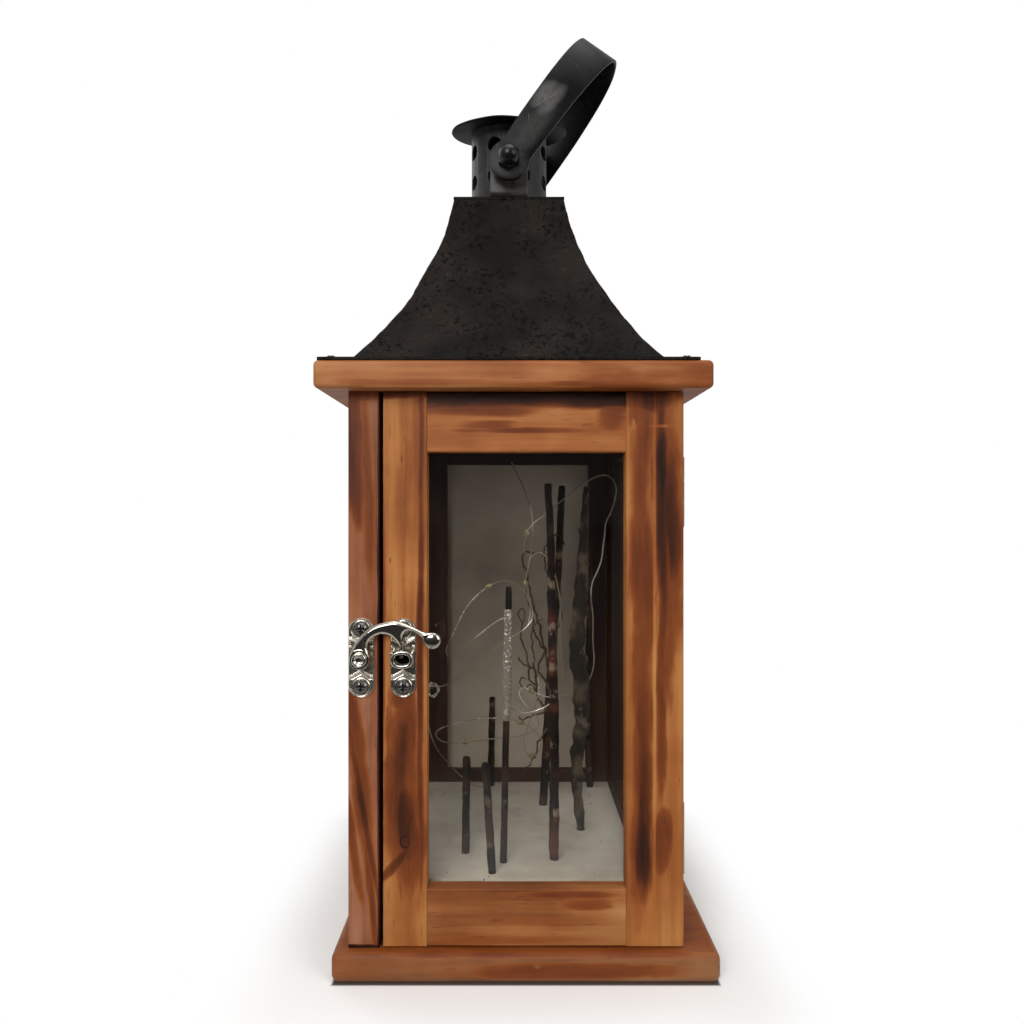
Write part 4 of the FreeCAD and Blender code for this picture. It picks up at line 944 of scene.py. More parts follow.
def cast(meshes: Iterable[Mesh], voxel_mm: float, rounds: int) -> Mesh:
    """Melts closed meshes into one skin with soft edges, as cast or pressed metal has.

    Args:
        meshes: The closed meshes.
        voxel_mm: The fineness.
        rounds: How often the skin is smoothed.

    Returns:
        The melted mesh.
    """
    item = bpy.data.objects.new("cast", joined(meshes))
    remesh = item.modifiers.new("melt", "REMESH")
    remesh.mode = "VOXEL"
    remesh.voxel_size = voxel_mm * MM
    smooth = item.modifiers.new("soften", "SMOOTH")
    smooth.factor = 0.5
    smooth.iterations = rounds
    return applied(item)


def turned(profile: Sequence[Pair], at: Place, axis: Axis, count: int = 48) -> Mesh:
    """Turns a profile about an axis.

    Args:
        profile: Pairs of radius and distance along the axis, in mm.
        at: Where the axis starts, in mm.
        axis: Z, or Y followed backwards, so that a face on the door looks to the front.
        count: How many sides it has.

    Returns:
        The mesh.
    """
    rings = []
    for radius, along in profile:
        ring = []
        for i in range(count):
            angle = 2 * math.pi * i / count
            a, b = radius * math.cos(angle), radius * math.sin(angle)
            away = (a, -along, b) if axis is Axis.Y else (a, b, along)
            ring.append(tuple((start + part) * MM for start, part in zip(at, away)))
        rings.append(ring)
    return rings_mesh(rings)


def curve_through(points: Sequence[Vector], count: int) -> list[Vector]:
    """Samples a smooth line through points.

    Args:
        points: The points.
        count: How many samples each span has.

    Returns:
        The samples, both ends included.
    """
    ends = [points[0] * 2 - points[1], *points, points[-1] * 2 - points[-2]]
    samples = []
    for a, b, c, d in zip(ends, ends[1:], ends[2:], ends[3:]):
        for i in range(count):
            t = i / count
            square, cube = 2 * a - 5 * b + 4 * c - d, 3 * b - a - 3 * c + d
            samples.append(0.5 * (2 * b + (c - a) * t + square * t * t + cube * t ** 3))
    samples.append(points[-1].copy())
    return samples


def heading(path: Sequence[Vector], i: int) -> Vector:
    """Returns a path's direction at its point number i."""
    return (path[min(i + 1, len(path) - 1)] - path[max(i - 1, 0)]).normalized()


def frames_along(path: Sequence[Vector], side: Vector) -> Iterator[tuple[Vector, Vector, Vector]]:
    """Walks a path without twisting.

    Args:
        path: The path's points.
        side: A first direction across the path.

    Yields:
        Each point, with two directions across the path there.
    """
    for i, spot in enumerate(path):
        along = heading(path, i)
        side = (side - along * side.dot(along)).normalized()
        yield spot, side, along.cross(side)


def ways_round(side: Vector, other: Vector, count: int) -> list[Vector]:
    """Returns so many directions in a full turn, from side towards other."""
    turns = (2 * math.pi * k / count for k in range(count))
    return [side * math.cos(turn) + other * math.sin(turn) for turn in turns]


# Studio


@dataclass(frozen=True)
class Lamp:
    """One square soft lamp: where it hangs, what it looks at, its side in metres and its power in watts."""
    name: str
    at: Place
    to: Place
    size: float
    power: float

    def hang(self) -> None:
        """Puts the lamp into the scene."""
        light = bpy.data.lights.new(self.name, "AREA")
        light.shape = "SQUARE"
        light.size = self.size
        light.energy = self.power
        lamp = linked(bpy.data.objects.new(self.name, light))
        lamp.location = self.at
        lamp.rotation_euler = (Vector(self.to) - Vector(self.at)).to_track_quat("-Z", "Y").to_euler()


@dataclass
class Studio:
    """The pale floor, the soft lights, the world and the camera."""
    eye: Place = (-0.0021, -0.3238, 0.1636)
    lens_mm: float = 26.6
    sensor_mm: float = 36.0
    shift: Pair = (0.002, -0.002)
    floor_half: float = 8.0
    footing: float = 0.07
    shaded_reach: float = 0.035
    # Where the painted contact shadow round the base lies, how wide it is and its colour.
    contact_shadow_middle: Pair = (0.0034, 0.0045)
    contact_shadow_half: Pair = (0.0664, 0.0675)
    contact_shadow_width: float = 0.0012
    ambient: float = 0.34
    ambient_in_gloss: float = 0.05
    floor_tone: Colour = tone(250, 249, 247)
    bounce_tone: Colour = tone(176, 174, 171)
    gloss_tone: Colour = tone(14, 13, 12)
    contact_shadow_tone: Colour = tone(88, 73, 64)
    white: Colour = (1.0, 1.0, 1.0)
    lamps: tuple[Lamp, ...] = (
        Lamp("key", (-0.5, -1.4, 0.95), (0.0, 0.0, 0.19), 0.9, 17.0),
        Lamp("fill", (1.2, -0.95, 0.7), (0.0, 0.0, 0.16), 0.9, 6.5),
        Lamp("top", (0.1, -0.25, 1.7), (0.0, 0.0, 0.0), 1.2, 8.0),
        Lamp("back", (-0.9, 1.0, 1.1), (0.0, 0.0, 0.15), 0.9, 4.0),
    )

    def build(self) -> None:
        """Makes all of it."""
        self.build_floor()
        self.build_world()
        for lamp in self.lamps:
            lamp.hang()
        self.build_camera()

    def rays(self, shader: Shader) -> tuple[Value, Value, Value, Value]:
        """Returns 1 for a camera ray, one that came straight through glass, a glossy one, a diffuse one."""
        path = shader.node("ShaderNodeLightPath")
        bounced = Value(shader, path.outputs["Diffuse Depth"]) + path.outputs["Glossy Depth"]
        kinds = ("Camera", "Transmission", "Glossy", "Diffuse")
        camera, through, glossy, diffuse = (Value(shader, path.outputs[f"Is {kind} Ray"]) for kind in kinds)
        return camera, through * (1 - bounced.least(1.0)), glossy, diffuse

    def build_floor(self) -> None:
        """Makes the floor, shaded near the lantern and white far from it where it is seen, with a painted
        contact shadow round the base.
        """
        work = bmesh.new()
        bmesh.ops.create_grid(work, x_segments=24, y_segments=24, size=self.floor_half)
        mesh = mesh_from(work, "studio_floor")
        shader = Shader("pale_floor")
        across, deep = shader.split(shader.place())[:2]
        wide, far = ((abs(part) - self.footing).most(0.0) for part in (across, deep))
        away = (wide * wide + far * far).root().step(0.0, self.shaded_reach)
        behind = deep.step(-0.3, 0.1)
        camera, through, glossy, diffuse = self.rays(shader)
        seen = camera.most(through).most(glossy * behind * 0.55)
        colour = shader.mix(diffuse, self.floor_tone, self.bounce_tone)
        colour = shader.mix(glossy * away * (1 - behind), colour, self.gloss_tone)
        # Painted contact shadow: a thin dark line round the base's foot, seen by the camera only.
        outside = [
            abs(part - middle) - half
            for part, middle, half in zip((across, deep), self.contact_shadow_middle, self.contact_shadow_half)
        ]
        edge = outside[0].most(outside[1]).step(self.contact_shadow_width, 0.0)
        colour = shader.mix(camera * edge, colour, self.contact_shadow_tone)
        matt = shader.principled({"Base Color": colour, "Roughness": 0.9, "Specular IOR Level": 0.1})
        white = shader.node("ShaderNodeEmission", {}, {"Color": self.white, "Strength": 1.0})
        mesh.materials.append(shader.finished(shader.blend(away * seen, matt, white)))
        linked(bpy.data.objects.new("studio_floor", mesh))

    def build_world(self) -> None:
        """Makes the world: white where it is seen, dim for the light that it gives."""
        world = bpy.data.worlds.new("studio")
        world.use_nodes = True
        bpy.context.scene.world = world
        shader = Shader("studio", world.node_tree)
        across, deep, up = shader.split(shader.node("ShaderNodeTexCoord").outputs["Generated"])
        behind = deep.step(-0.35, 0.35) * 0.55
        above = up.step(0.3, 0.85) * 0.55
        beside = abs(across).step(0.55, 0.95) * 0.5
        camera, through, glossy, _ = self.rays(shader)
        seen = camera.most(through).most(glossy * behind.most(above).most(beside))
        given = self.ambient - glossy * (self.ambient - self.ambient_in_gloss)
        dim = shader.node("ShaderNodeBackground", {}, {0: self.white, 1: given})
        white = shader.node("ShaderNodeBackground", {}, {0: self.white, 1: 1.0})
        shader.node("ShaderNodeOutputWorld", {}, {0: shader.blend(seen, dim, white)})

    def build_camera(self) -> None:
        """Makes the camera at the photograph's angle."""
        data = bpy.data.cameras.new("camera")
        data.lens = self.lens_mm
        data.sensor_width = self.sensor_mm
        data.shift_x, data.shift_y = self.shift
        data.clip_start = 0.01
        camera = linked(bpy.data.objects.new("camera", data))
        camera.location = self.eye
        camera.rotation_euler = (math.radians(90), 0.0, 0.0)
        bpy.context.scene.camera = camera
        bpy.context.scene.view_settings.view_transform = "Standard"


# Sub-assemblies


LEFT_WOOD = tone(146, 92, 56)
RIGHT_WOOD = tone(152, 94, 54)
BACK_WOOD = tone(138, 86, 52)


@dataclass
class Case:
    """The boards, the three fixed frames with their glass, and the screws that hold them."""
    boards: tuple[Pine, ...] = (
        Pine(
            "base_board", Axis.X, Face.FRONT, 3, tone(135, 88, 57), spread=0.2,
            scorches_and_shade=(
                Mark(16, 4.6, 40, 2.6, 0.4), Mark(-8, 9.6, 30, 0.8, 0.4), Mark(40, 9.8, 24, 0.9, 0.4),
                Mark(4, 10.5, 160, 0.6, 0.3),
            ),
            pale_marks=(Mark(7.4, 6.3, 0.8, 0.8, 0.9),),
        ),
        Pine(
            "top_board", Axis.X, Face.FRONT, 5, tone(160, 102, 62), spread=0.2,
            scorches_and_shade=(
                Mark(-34, 207.2, 26, 1.1, 0.25), Mark(26, 206.8, 22, 0.9, 0.3), Mark(50, 210, 30, 8, 0.3),
            ),
        ),
        Pine(
            "left_front_post", Axis.Z, Face.FRONT, 11, tone(149, 98, 74), spread=0.3,
            scorches_and_shade=(
                Mark(-56.4, 184, 2.6, 24, 0.6, -0.03), Mark(-52, 172, 1.8, 34, 0.4, -0.04),
                Mark(-55.6, 78, 2.6, 46, 0.42, -0.12), Mark(-53.4, 58, 1.2, 30, 0.62, -0.17),
                Mark(-57, 46, 1.5, 20, 0.4, -0.14), Mark(-50.8, 28, 1.2, 20, 0.45, -0.1),
                # Painted shade: the mark at 206 under the top board's overhang, the thin tall one in the gap
                # by the door and the one in the gap under the post.
                Mark(-54, 206, 9, 4, 0.6), Mark(-47.9, 108, 0.55, 220, 0.95),
                Mark(-53.3, 10.6, 14, 0.8, 0.95),
            ),
        ),
        Pine(
            "left_rear_post", Axis.Z, Face.SIDE, 13, LEFT_WOOD,
            scorches_and_shade=(Mark(47, 60, 5, 34, 0.8), Mark(52, 150, 4, 40, 0.7)),
        ),
        Pine("left_top_rail", Axis.Y, Face.SIDE, 17, LEFT_WOOD, (Mark(8, 197, 24, 3, 0.6),)),
        Pine(
            "left_bottom_rail", Axis.Y, Face.SIDE, 19, tone(150, 94, 56),
            scorches_and_shade=(Mark(-14, 22, 20, 5, 0.6), Mark(22, 30, 12, 3, 0.4)),
        ),
        Pine(
            "right_front_post", Axis.Z, Face.SIDE, 23, RIGHT_WOOD,
            scorches_and_shade=(Mark(-43, 70, 4, 42, 0.8), Mark(-46, 165, 3, 26, 0.7)),
        ),
        Pine(
            "right_rear_post", Axis.Z, Face.SIDE, 29, RIGHT_WOOD,
            scorches_and_shade=(Mark(47, 128, 5, 52, 0.85), Mark(52, 48, 3, 18, 0.6), Mark(34.8, 112, 0.9, 220, 0.9)),
        ),
        Pine("right_top_rail", Axis.Y, Face.SIDE, 31, RIGHT_WOOD, (Mark(-6, 196, 26, 3, 0.6),)),
        Pine("right_bottom_rail", Axis.Y, Face.SIDE, 37, tone(152, 96, 56), (Mark(14, 24, 20, 4, 0.6),)),
        Pine("back_left_stile", Axis.Z, Face.FRONT, 41, BACK_WOOD, (Mark(-40, 96, 3.5, 60, 0.7),)),
        Pine("back_right_stile", Axis.Z, Face.FRONT, 43, BACK_WOOD, (Mark(41, 130, 3, 50, 0.75),)),
        Pine("back_top_rail", Axis.X, Face.FRONT, 47, BACK_WOOD, (Mark(2, 196, 26, 3, 0.6),)),
        Pine("back_bottom_rail", Axis.X, Face.FRONT, 53, BACK_WOOD, (Mark(-8, 22, 22, 4, 0.6),)),
        Pine("door_stop", Axis.Z, Face.FRONT, 59, tone(110, 68, 42)),
    )

    def build(self) -> None:
        """Dresses the case."""
        for board in self.boards:
            dress(board.material(), board.name)
        dress(ClearGlass("side_glass").material(), "left_glass", "right_glass")
        dress(SmokedPane("smoked_pane").material(), "back_glass")
        dress(STEEL.material(), "case_screws")


@dataclass
class Door:
    """The door's frame and glass, and the hinges."""
    boards: tuple[Pine, ...] = (
        Pine(
            "door_left_stile", Axis.Z, Face.FRONT, 61, spread=0.1,
            scorches_and_shade=(
                Mark(-39.8, 66, 6, 36, 0.5), Mark(-40.2, 77, 3.6, 15, 0.64),
                Mark(-36.8, 88, 2.2, 16, 0.45), Mark(-38.4, 54, 3.2, 14, 0.72),
                # The mark at 206 is painted shadow of the top board's overhang.
                Mark(-43.2, 68, 2.9, 15, 0.5), Mark(-40, 206, 10, 3, 0.6),
                Mark(-42, 40.5, 2, 7, 0.64, 0.8), Mark(-40, 181.5, 0.4, 1.6, 0.4),
                Mark(-40, 30, 10, 24, 0.2), Mark(-44, 146, 0.3, 1, 0.4), Mark(-41.5, 98, 3, 5, 0.5),
                Mark(-46.4, 120, 0.9, 44, 0.35), Mark(-33.4, 130, 1.1, 90, 0.6),
            ),
            knots=(Knot(-38.8, 47.4, 1.5),),
        ),
        Pine(
            "door_right_stile", Axis.Z, Face.FRONT, 67, spread=0.1,
            scorches_and_shade=(
                Mark(44.6, 118, 3.7, 88, 0.42), Mark(53.4, 150, 4.6, 54, 0.46),
                Mark(44.6, 84, 2.4, 44, 0.5), Mark(45.4, 58, 2.5, 30, 0.6),
                Mark(45.4, 43, 2.3, 12, 0.72), Mark(51.2, 154, 2.2, 50, 0.7),
                Mark(54.4, 160, 2.6, 24, 0.7), Mark(51, 100, 2, 36, 0.5),
                Mark(51.8, 178, 2.2, 15, 0.85), Mark(51.8, 48, 2.4, 11, 0.42, 0.06),
                # The mark at 204.5 is painted shadow of the top board's overhang, over some scorch.
                Mark(47.5, 204.5, 12, 6, 0.62), Mark(42, 199, 3, 6, 0.4),
                Mark(54, 60, 5, 50, 0.16),
            ),
            pale_marks=(
                Mark(48.6, 113, 0.5, 78, 0.8), Mark(53, 193, 5, 0.5, 0.7),
                Mark(41.2, 193.8, 0.5, 1.6, 0.7),
            ),
        ),
        Pine(
            "door_top_rail", Axis.X, Face.FRONT, 71, tone(160, 99, 55), spread=0.1,
            scorches_and_shade=(
                Mark(1.4, 191.5, 22, 1, 0.42), Mark(-10.2, 193.4, 9, 1.6, 0.4),
                # The marks at 205.8 and 200 are painted shadow of the top board's overhang, over some scorch.
                Mark(35.4, 199.3, 5, 7, 0.4), Mark(2, 205.8, 90, 6.2, 0.92), Mark(-14, 200, 24, 3.4, 0.45),
            ),
        ),
        Pine(
            "door_bottom_rail", Axis.X, Face.FRONT, 73, tone(153, 98, 56), spread=0.12,
            scorches_and_shade=(
                Mark(19, 28.8, 17, 1.3, 0.5), Mark(27, 25.6, 9, 2.2, 0.34), Mark(-8, 13, 24, 1.6, 0.25),
                Mark(4, 20, 20, 1.2, 0.2),
            ),
        ),
    )

    def build(self) -> None:
        """Dresses the door and the hinges."""
        for board in self.boards:
            dress(board.material(), board.name)
        dress(ClearGlass("door_glass").material(), "door_glass")
        dress(TAB_STEEL.material(), "door_glazing_tabs")
        dress(STEEL.material(), "hinge_frame_leaves", "hinge_door_leaves", "hinge_pins")
        dress(DARK_STEEL.material(), "hinge_frame_screws", "hinge_door_screws")


@dataclass(frozen=True)
class Ridge:
    """A pressed ridge, or a groove when it is lower than 0: its height, where it lies and its half width."""
    height: float
    at: float
    half: float

    def lift(self, distance: float) -> float:
        """Returns how far the ridge lifts the metal at a distance."""
        return self.height * math.cos(math.pi / 2 * min(1.0, abs(distance - self.at) / self.half)) ** 2


@dataclass
class Latch:
    """The swing hook latch: two pressed plates, the cast arm, its rivet and the screws. Sizes in mm."""
    pivot: Pair = (-54.1, 111.9)
    catch_x: float = -39.39
    wood_face: float = -58.8
    plate_width: float = 9.2
    plate_height: float = 28.0
    plate_thickness: float = 0.9
    plate_dish: float = 0.12
    plate_lip: float = 0.35
    plate_lip_share: float = 0.45
    rim: Ridge = Ridge(0.16, 0.55, 0.5)
    screw_groove: Ridge = Ridge(-0.3, 3.25, 0.45)
    cross_ridge: Ridge = Ridge(0.34, 4.5, 0.55)
    cross_groove: Ridge = Ridge(-0.22, 5.6, 0.5)
    cross_half: float = 3.4
    cross_lean: float = 1.9
    wing: Ridge = Ridge(0.42, 0.0, 1.0)
    wing_middle: Pair = (3.7, 3.9)
    wing_half: Pair = (0.8, 0.55)
    seat_radius: float = 3.1
    boss_height: float = 1.45
    screw_offset: float = 10.1
    screw_clear: float = 2.6
    loop_half: Pair = (3.2, 2.45)
    loop_bar: float = 0.62
    loop_away: float = 3.5
    wall_half: Place = (0.45, 1.95, 2.5)
    wall_offset: Pair = (3.6, 1.65)
    arm_back: float = -61.25
    arm_front: float = -63.05
    reach: float = 25.1
    rise: float = 13.3
    knob_up: float = 0.484
    knob_radius: float = 2.95
    knob_depth: float = 1.25
    knob_y: float = -62.1
    boss: tuple[Pair, ...] = ((3.2, 0.05), (3.55, 0.3), (3.6, 1.3), (3.4, 1.8))
    prong_along: float = 0.574
    prong_half: Place = (0.7, 1.225, 2.5)
    prong_y: float = -61.375
    prong_top: float = 117.4
    dome_width: float = 1.25
    dome_clear: Pair = (2.6, 3.3)
    dome_ease: float = 1.2
    thin_from: float = 5.0
    thin_past: float = 4.2
    thinning: float = 0.45
    fineness: float = 0.11
    grid: int = 88
    head: tuple[Pair, ...] = (
        (1.25, -4.2), (1.25, 0.0), (2.45, 0.0), (2.6, 0.18), (2.62, 0.5), (2.45, 0.95), (2.1, 1.2),
        (1.75, 1.12), (1.45, 0.8), (1.15, 0.5), (0.6, 0.38), (0.05, 0.36),
    )
    top_line: tuple[Pair, ...] = (
        (-0.135, 0.0), (-0.100, 0.30), (-0.030, 0.505), (0.070, 0.715), (0.194, 0.872), (0.326, 0.955),
        (0.478, 1.0), (0.580, 0.955), (0.685, 0.880), (0.785, 0.797), (0.857, 0.730), (0.930, 0.705),
        (1.0, 0.692),
    )
    under_line: tuple[Pair, ...] = (
        (1.0, 0.275), (0.910, 0.430), (0.850, 0.563), (0.785, 0.658), (0.733, 0.714), (0.670, 0.728),
        (0.614, 0.680), (0.588, 0.563), (0.596, 0.387), (0.604, 0.253), (0.602, 0.040),
    )
    inner_line: tuple[Pair, ...] = (
        (0.546, 0.040), (0.552, 0.253), (0.530, 0.387), (0.478, 0.505), (0.418, 0.600), (0.326, 0.650),
        (0.234, 0.615), (0.158, 0.524), (0.120, 0.426), (0.106, 0.310), (0.118, 0.177), (0.135, 0.0),
    )

    def build(self) -> None:
        """Makes and dresses the latch."""
        nickel, plated, catch = (metal.material() for metal in (NICKEL, PLATE_NICKEL, CATCH_NICKEL))
        for name, replaced, body, mesh, metal, sharp in (
            ("pivot_plate", "latch_plate", Body.LANTERN, self.pressed_plate(self.pivot[0], True), plated, 60),
            ("hook_catch", "catch_plate", Body.DOOR, self.catch(), catch, 60),
            ("hook_arm", "latch_arm", Body.LATCH_ARM, self.arm(), nickel, 80),
            ("pivot_rivet", "latch_rivet", Body.LANTERN, self.rivet(), nickel, 60),
        ):
            Piece(name, "nickel", (replaced,), body).from_mesh(mesh, metal, sharp)
        dress(DARK_STEEL.material(), "latch_plate_screws", "catch_plate_screws")

    def relief(self, x: float, z: float, edge: float, with_boss: bool) -> float:
        """Returns a plate's thickness at a place.

        Args:
            x: Across the plate from its middle.
            z: Up the plate from its middle.
            edge: How far the place is inside the outline.
            with_boss: Whether the plate carries the arm's seat.

        Returns:
            The thickness in mm.
        """
        rise = abs(z)
        height = self.plate_thickness - self.plate_dish + self.rim.lift(edge)
        height += self.screw_groove.lift(math.hypot(x, rise - self.screw_offset))
        if rise < self.screw_offset - self.screw_clear:
            level = rise - self.cross_lean * min(1.0, abs(x) / self.cross_half)
            height += self.cross_ridge.lift(level) + self.cross_groove.lift(level)
        (wing_x, wing_z), (half_x, half_z) = self.wing_middle, self.wing_half
        height += self.wing.lift(math.hypot((abs(x) - wing_x) / half_x, (z - wing_z) / half_z))
        if with_boss and math.hypot(x, z) < self.seat_radius:
            height = self.plate_thickness + self.boss_height
        return height * min(1.0, self.plate_lip_share + edge / self.plate_lip * (1 - self.plate_lip_share))

    def pressed_plate(self, middle: float, with_boss: bool) -> Mesh:
        """Makes a plate with its pressed rim, ridges and seats.

        Args:
            middle: Where the plate stands across the front.
            with_boss: Whether it carries the arm's seat.

        Returns:
            The mesh.
        """
        radius, half = self.plate_width / 2, self.plate_height / 2
        rings = []
        for i in range(3 * self.grid + 1):
            z = -half * math.cos(math.pi * i / (3 * self.grid)) * 0.9999
            over = max(0.0, abs(z) - (half - radius))
            width = math.sqrt(max(radius ** 2 - over ** 2, 1e-6))
            back, front = [], []
            for j in range(self.grid + 1):
                x = width * math.sin(math.pi * (j / self.grid - 0.5))
                edge = radius - (math.hypot(x, over) if over else abs(x))
                thick = self.relief(x, z, max(0.0, edge), with_boss)
                back.append((middle + x, self.wood_face, self.pivot[1] + z))
                front.append((middle + x, self.wood_face - thick, self.pivot[1] + z))
            rings.append([tuple(part * MM for part in spot) for spot in (*back, *reversed(front))])
        return rings_mesh(rings)

    def oval_bar(self, centre: Place, power: float = 2.4, square: float = 0.7) -> Mesh:
        """Makes the loop's oval ring about a place in mm, with how square the oval and the bar are."""
        half_x, half_z = self.loop_half
        rings = []
        for i in range(56):
            angle = 2 * math.pi * i / 56
            cos, sin = math.cos(angle), math.sin(angle)
            x = half_x * math.copysign(abs(cos) ** (2 / power), cos)
            z = half_z * math.copysign(abs(sin) ** (2 / power), sin)
            out = Vector((x / half_x ** 2, 0, z / half_z ** 2)).normalized()
            ring = []
            for k in range(16):
                turn = 2 * math.pi * k / 16
                reach, deep = (
                    self.loop_bar * math.copysign(abs(part) ** square, part)
                    for part in (math.cos(turn), math.sin(turn))
                )
                spot = Vector(centre) + Vector((x, deep, z)) + out * reach
                ring.append(tuple(spot * MM))
            rings.append(ring)
        return rings_mesh(rings, closed=True)

    def slab(self, middle: Place, half: Place) -> Mesh:
        """Returns a closed block from its middle and half sizes in mm, to be melted into other metal."""
        corners = ((-1, -1), (1, -1), (1, 1), (-1, 1))
        return rings_mesh([
            [tuple((at + sign * size) * MM for at, sign, size in zip(middle, (*corner, level), half))
             for corner in corners]
            for level in (-1, 1)
        ])

    def catch(self) -> Mesh:
        """Makes the catch: its plate, with the loop that the arm's prong drops into."""
        x, z = self.catch_x, self.pivot[1]
        face = self.wood_face - self.plate_thickness
        offset, forward = self.wall_offset
        walls = [self.slab((side, face - forward, z), self.wall_half) for side in (x - offset, x + offset)]
        ring = self.oval_bar((x, face - self.loop_away, z))
        return joined([self.pressed_plate(x, False), cast([ring, *walls], self.fineness, 4)])

    def front(self, along: float, up: float) -> Pair:
        """Returns a place on the front in mm, from its shares of the arm's reach and rise."""
        return self.pivot[0] + along * self.reach, self.pivot[1] + up * self.rise

    def outline(self) -> list[Pair]:
        """Returns the arm's smooth outline on the front, in mm."""
        points = []
        for line in (self.top_line, self.under_line, self.inner_line):
            corners = [self.front(along, up) for along, up in line]
            smooth = curve_through([Vector((x, 0, z)) for x, z in corners], 12)
            points += [(spot.x, spot.z) for spot in smooth]
        return points

    def arm(self) -> Mesh:
        """Makes the cast hook arm with its boss, knob and prong."""
        outline = self.outline()
        levels = (self.arm_back, self.arm_front + 0.1)
        body = rings_mesh([[(x * MM, y * MM, z * MM) for x, z in outline] for y in levels])
        knob_x, knob_z = self.front(1.0, self.knob_up)
        angles = [math.pi * i / 20 for i in range(1, 20)]
        half_ball = [(self.knob_radius * math.sin(a), -self.knob_depth * math.cos(a)) for a in angles]
        ball = turned(half_ball, (knob_x, self.knob_y, knob_z), Axis.Y)
        boss = turned(self.boss, (self.pivot[0], self.arm_back, self.pivot[1]), Axis.Y)
        prong_at = (self.front(self.prong_along, 0.0)[0], self.prong_y, self.prong_top - self.prong_half[2])
        mesh = cast([body, ball, boss, self.slab(prong_at, self.prong_half)], self.fineness, 5)
        self.dome(mesh, outline, (knob_x, knob_z))
        return mesh

    def dome(self, mesh: Mesh, outline: Sequence[Pair], knob: Pair) -> None:
        """Rounds the arm's front edges and thins it where it passes over the catch.

        Args:
            mesh: The cast arm.
            outline: Its outline on the front.
            knob: The knob's middle on the front.
        """
        rim = kdtree.KDTree(len(outline))
        for i, (x, z) in enumerate(outline):
            rim.insert((x, 0, z), i)
        rim.balance()
        for vertex in mesh.vertices:
            x, y, z = (part / MM for part in vertex.co)
            clear = min(
                math.hypot(x - middle[0], z - middle[1]) - radius
                for middle, radius in zip((knob, self.pivot), self.dome_clear)
            )
            if clear > 0 and y < self.arm_back:
                fall = max(0.0, 1 - rim.find((x, 0, z))[2] / self.dome_width) ** 2
                fall *= min(1.0, clear / self.dome_ease)
                y = self.arm_back + (y - self.arm_back) * (1 - 0.5 * fall)
                vertex.co.y = y * MM
            over_catch = self.pivot[0] + self.thin_from < x < self.catch_x + self.thin_past
            if over_catch and z < self.prong_top and y < self.arm_front + self.thinning:
                share = min(1.0, (self.prong_top - z) / self.dome_ease)
                vertex.co.y = max(vertex.co.y, (self.arm_front + self.thinning * share) * MM)

    def rivet(self) -> Mesh:
        """Returns the pivot rivet with its dished head."""
        return turned(self.head, (self.pivot[0], self.arm_front - 0.1, self.pivot[1]), Axis.Y, 64)


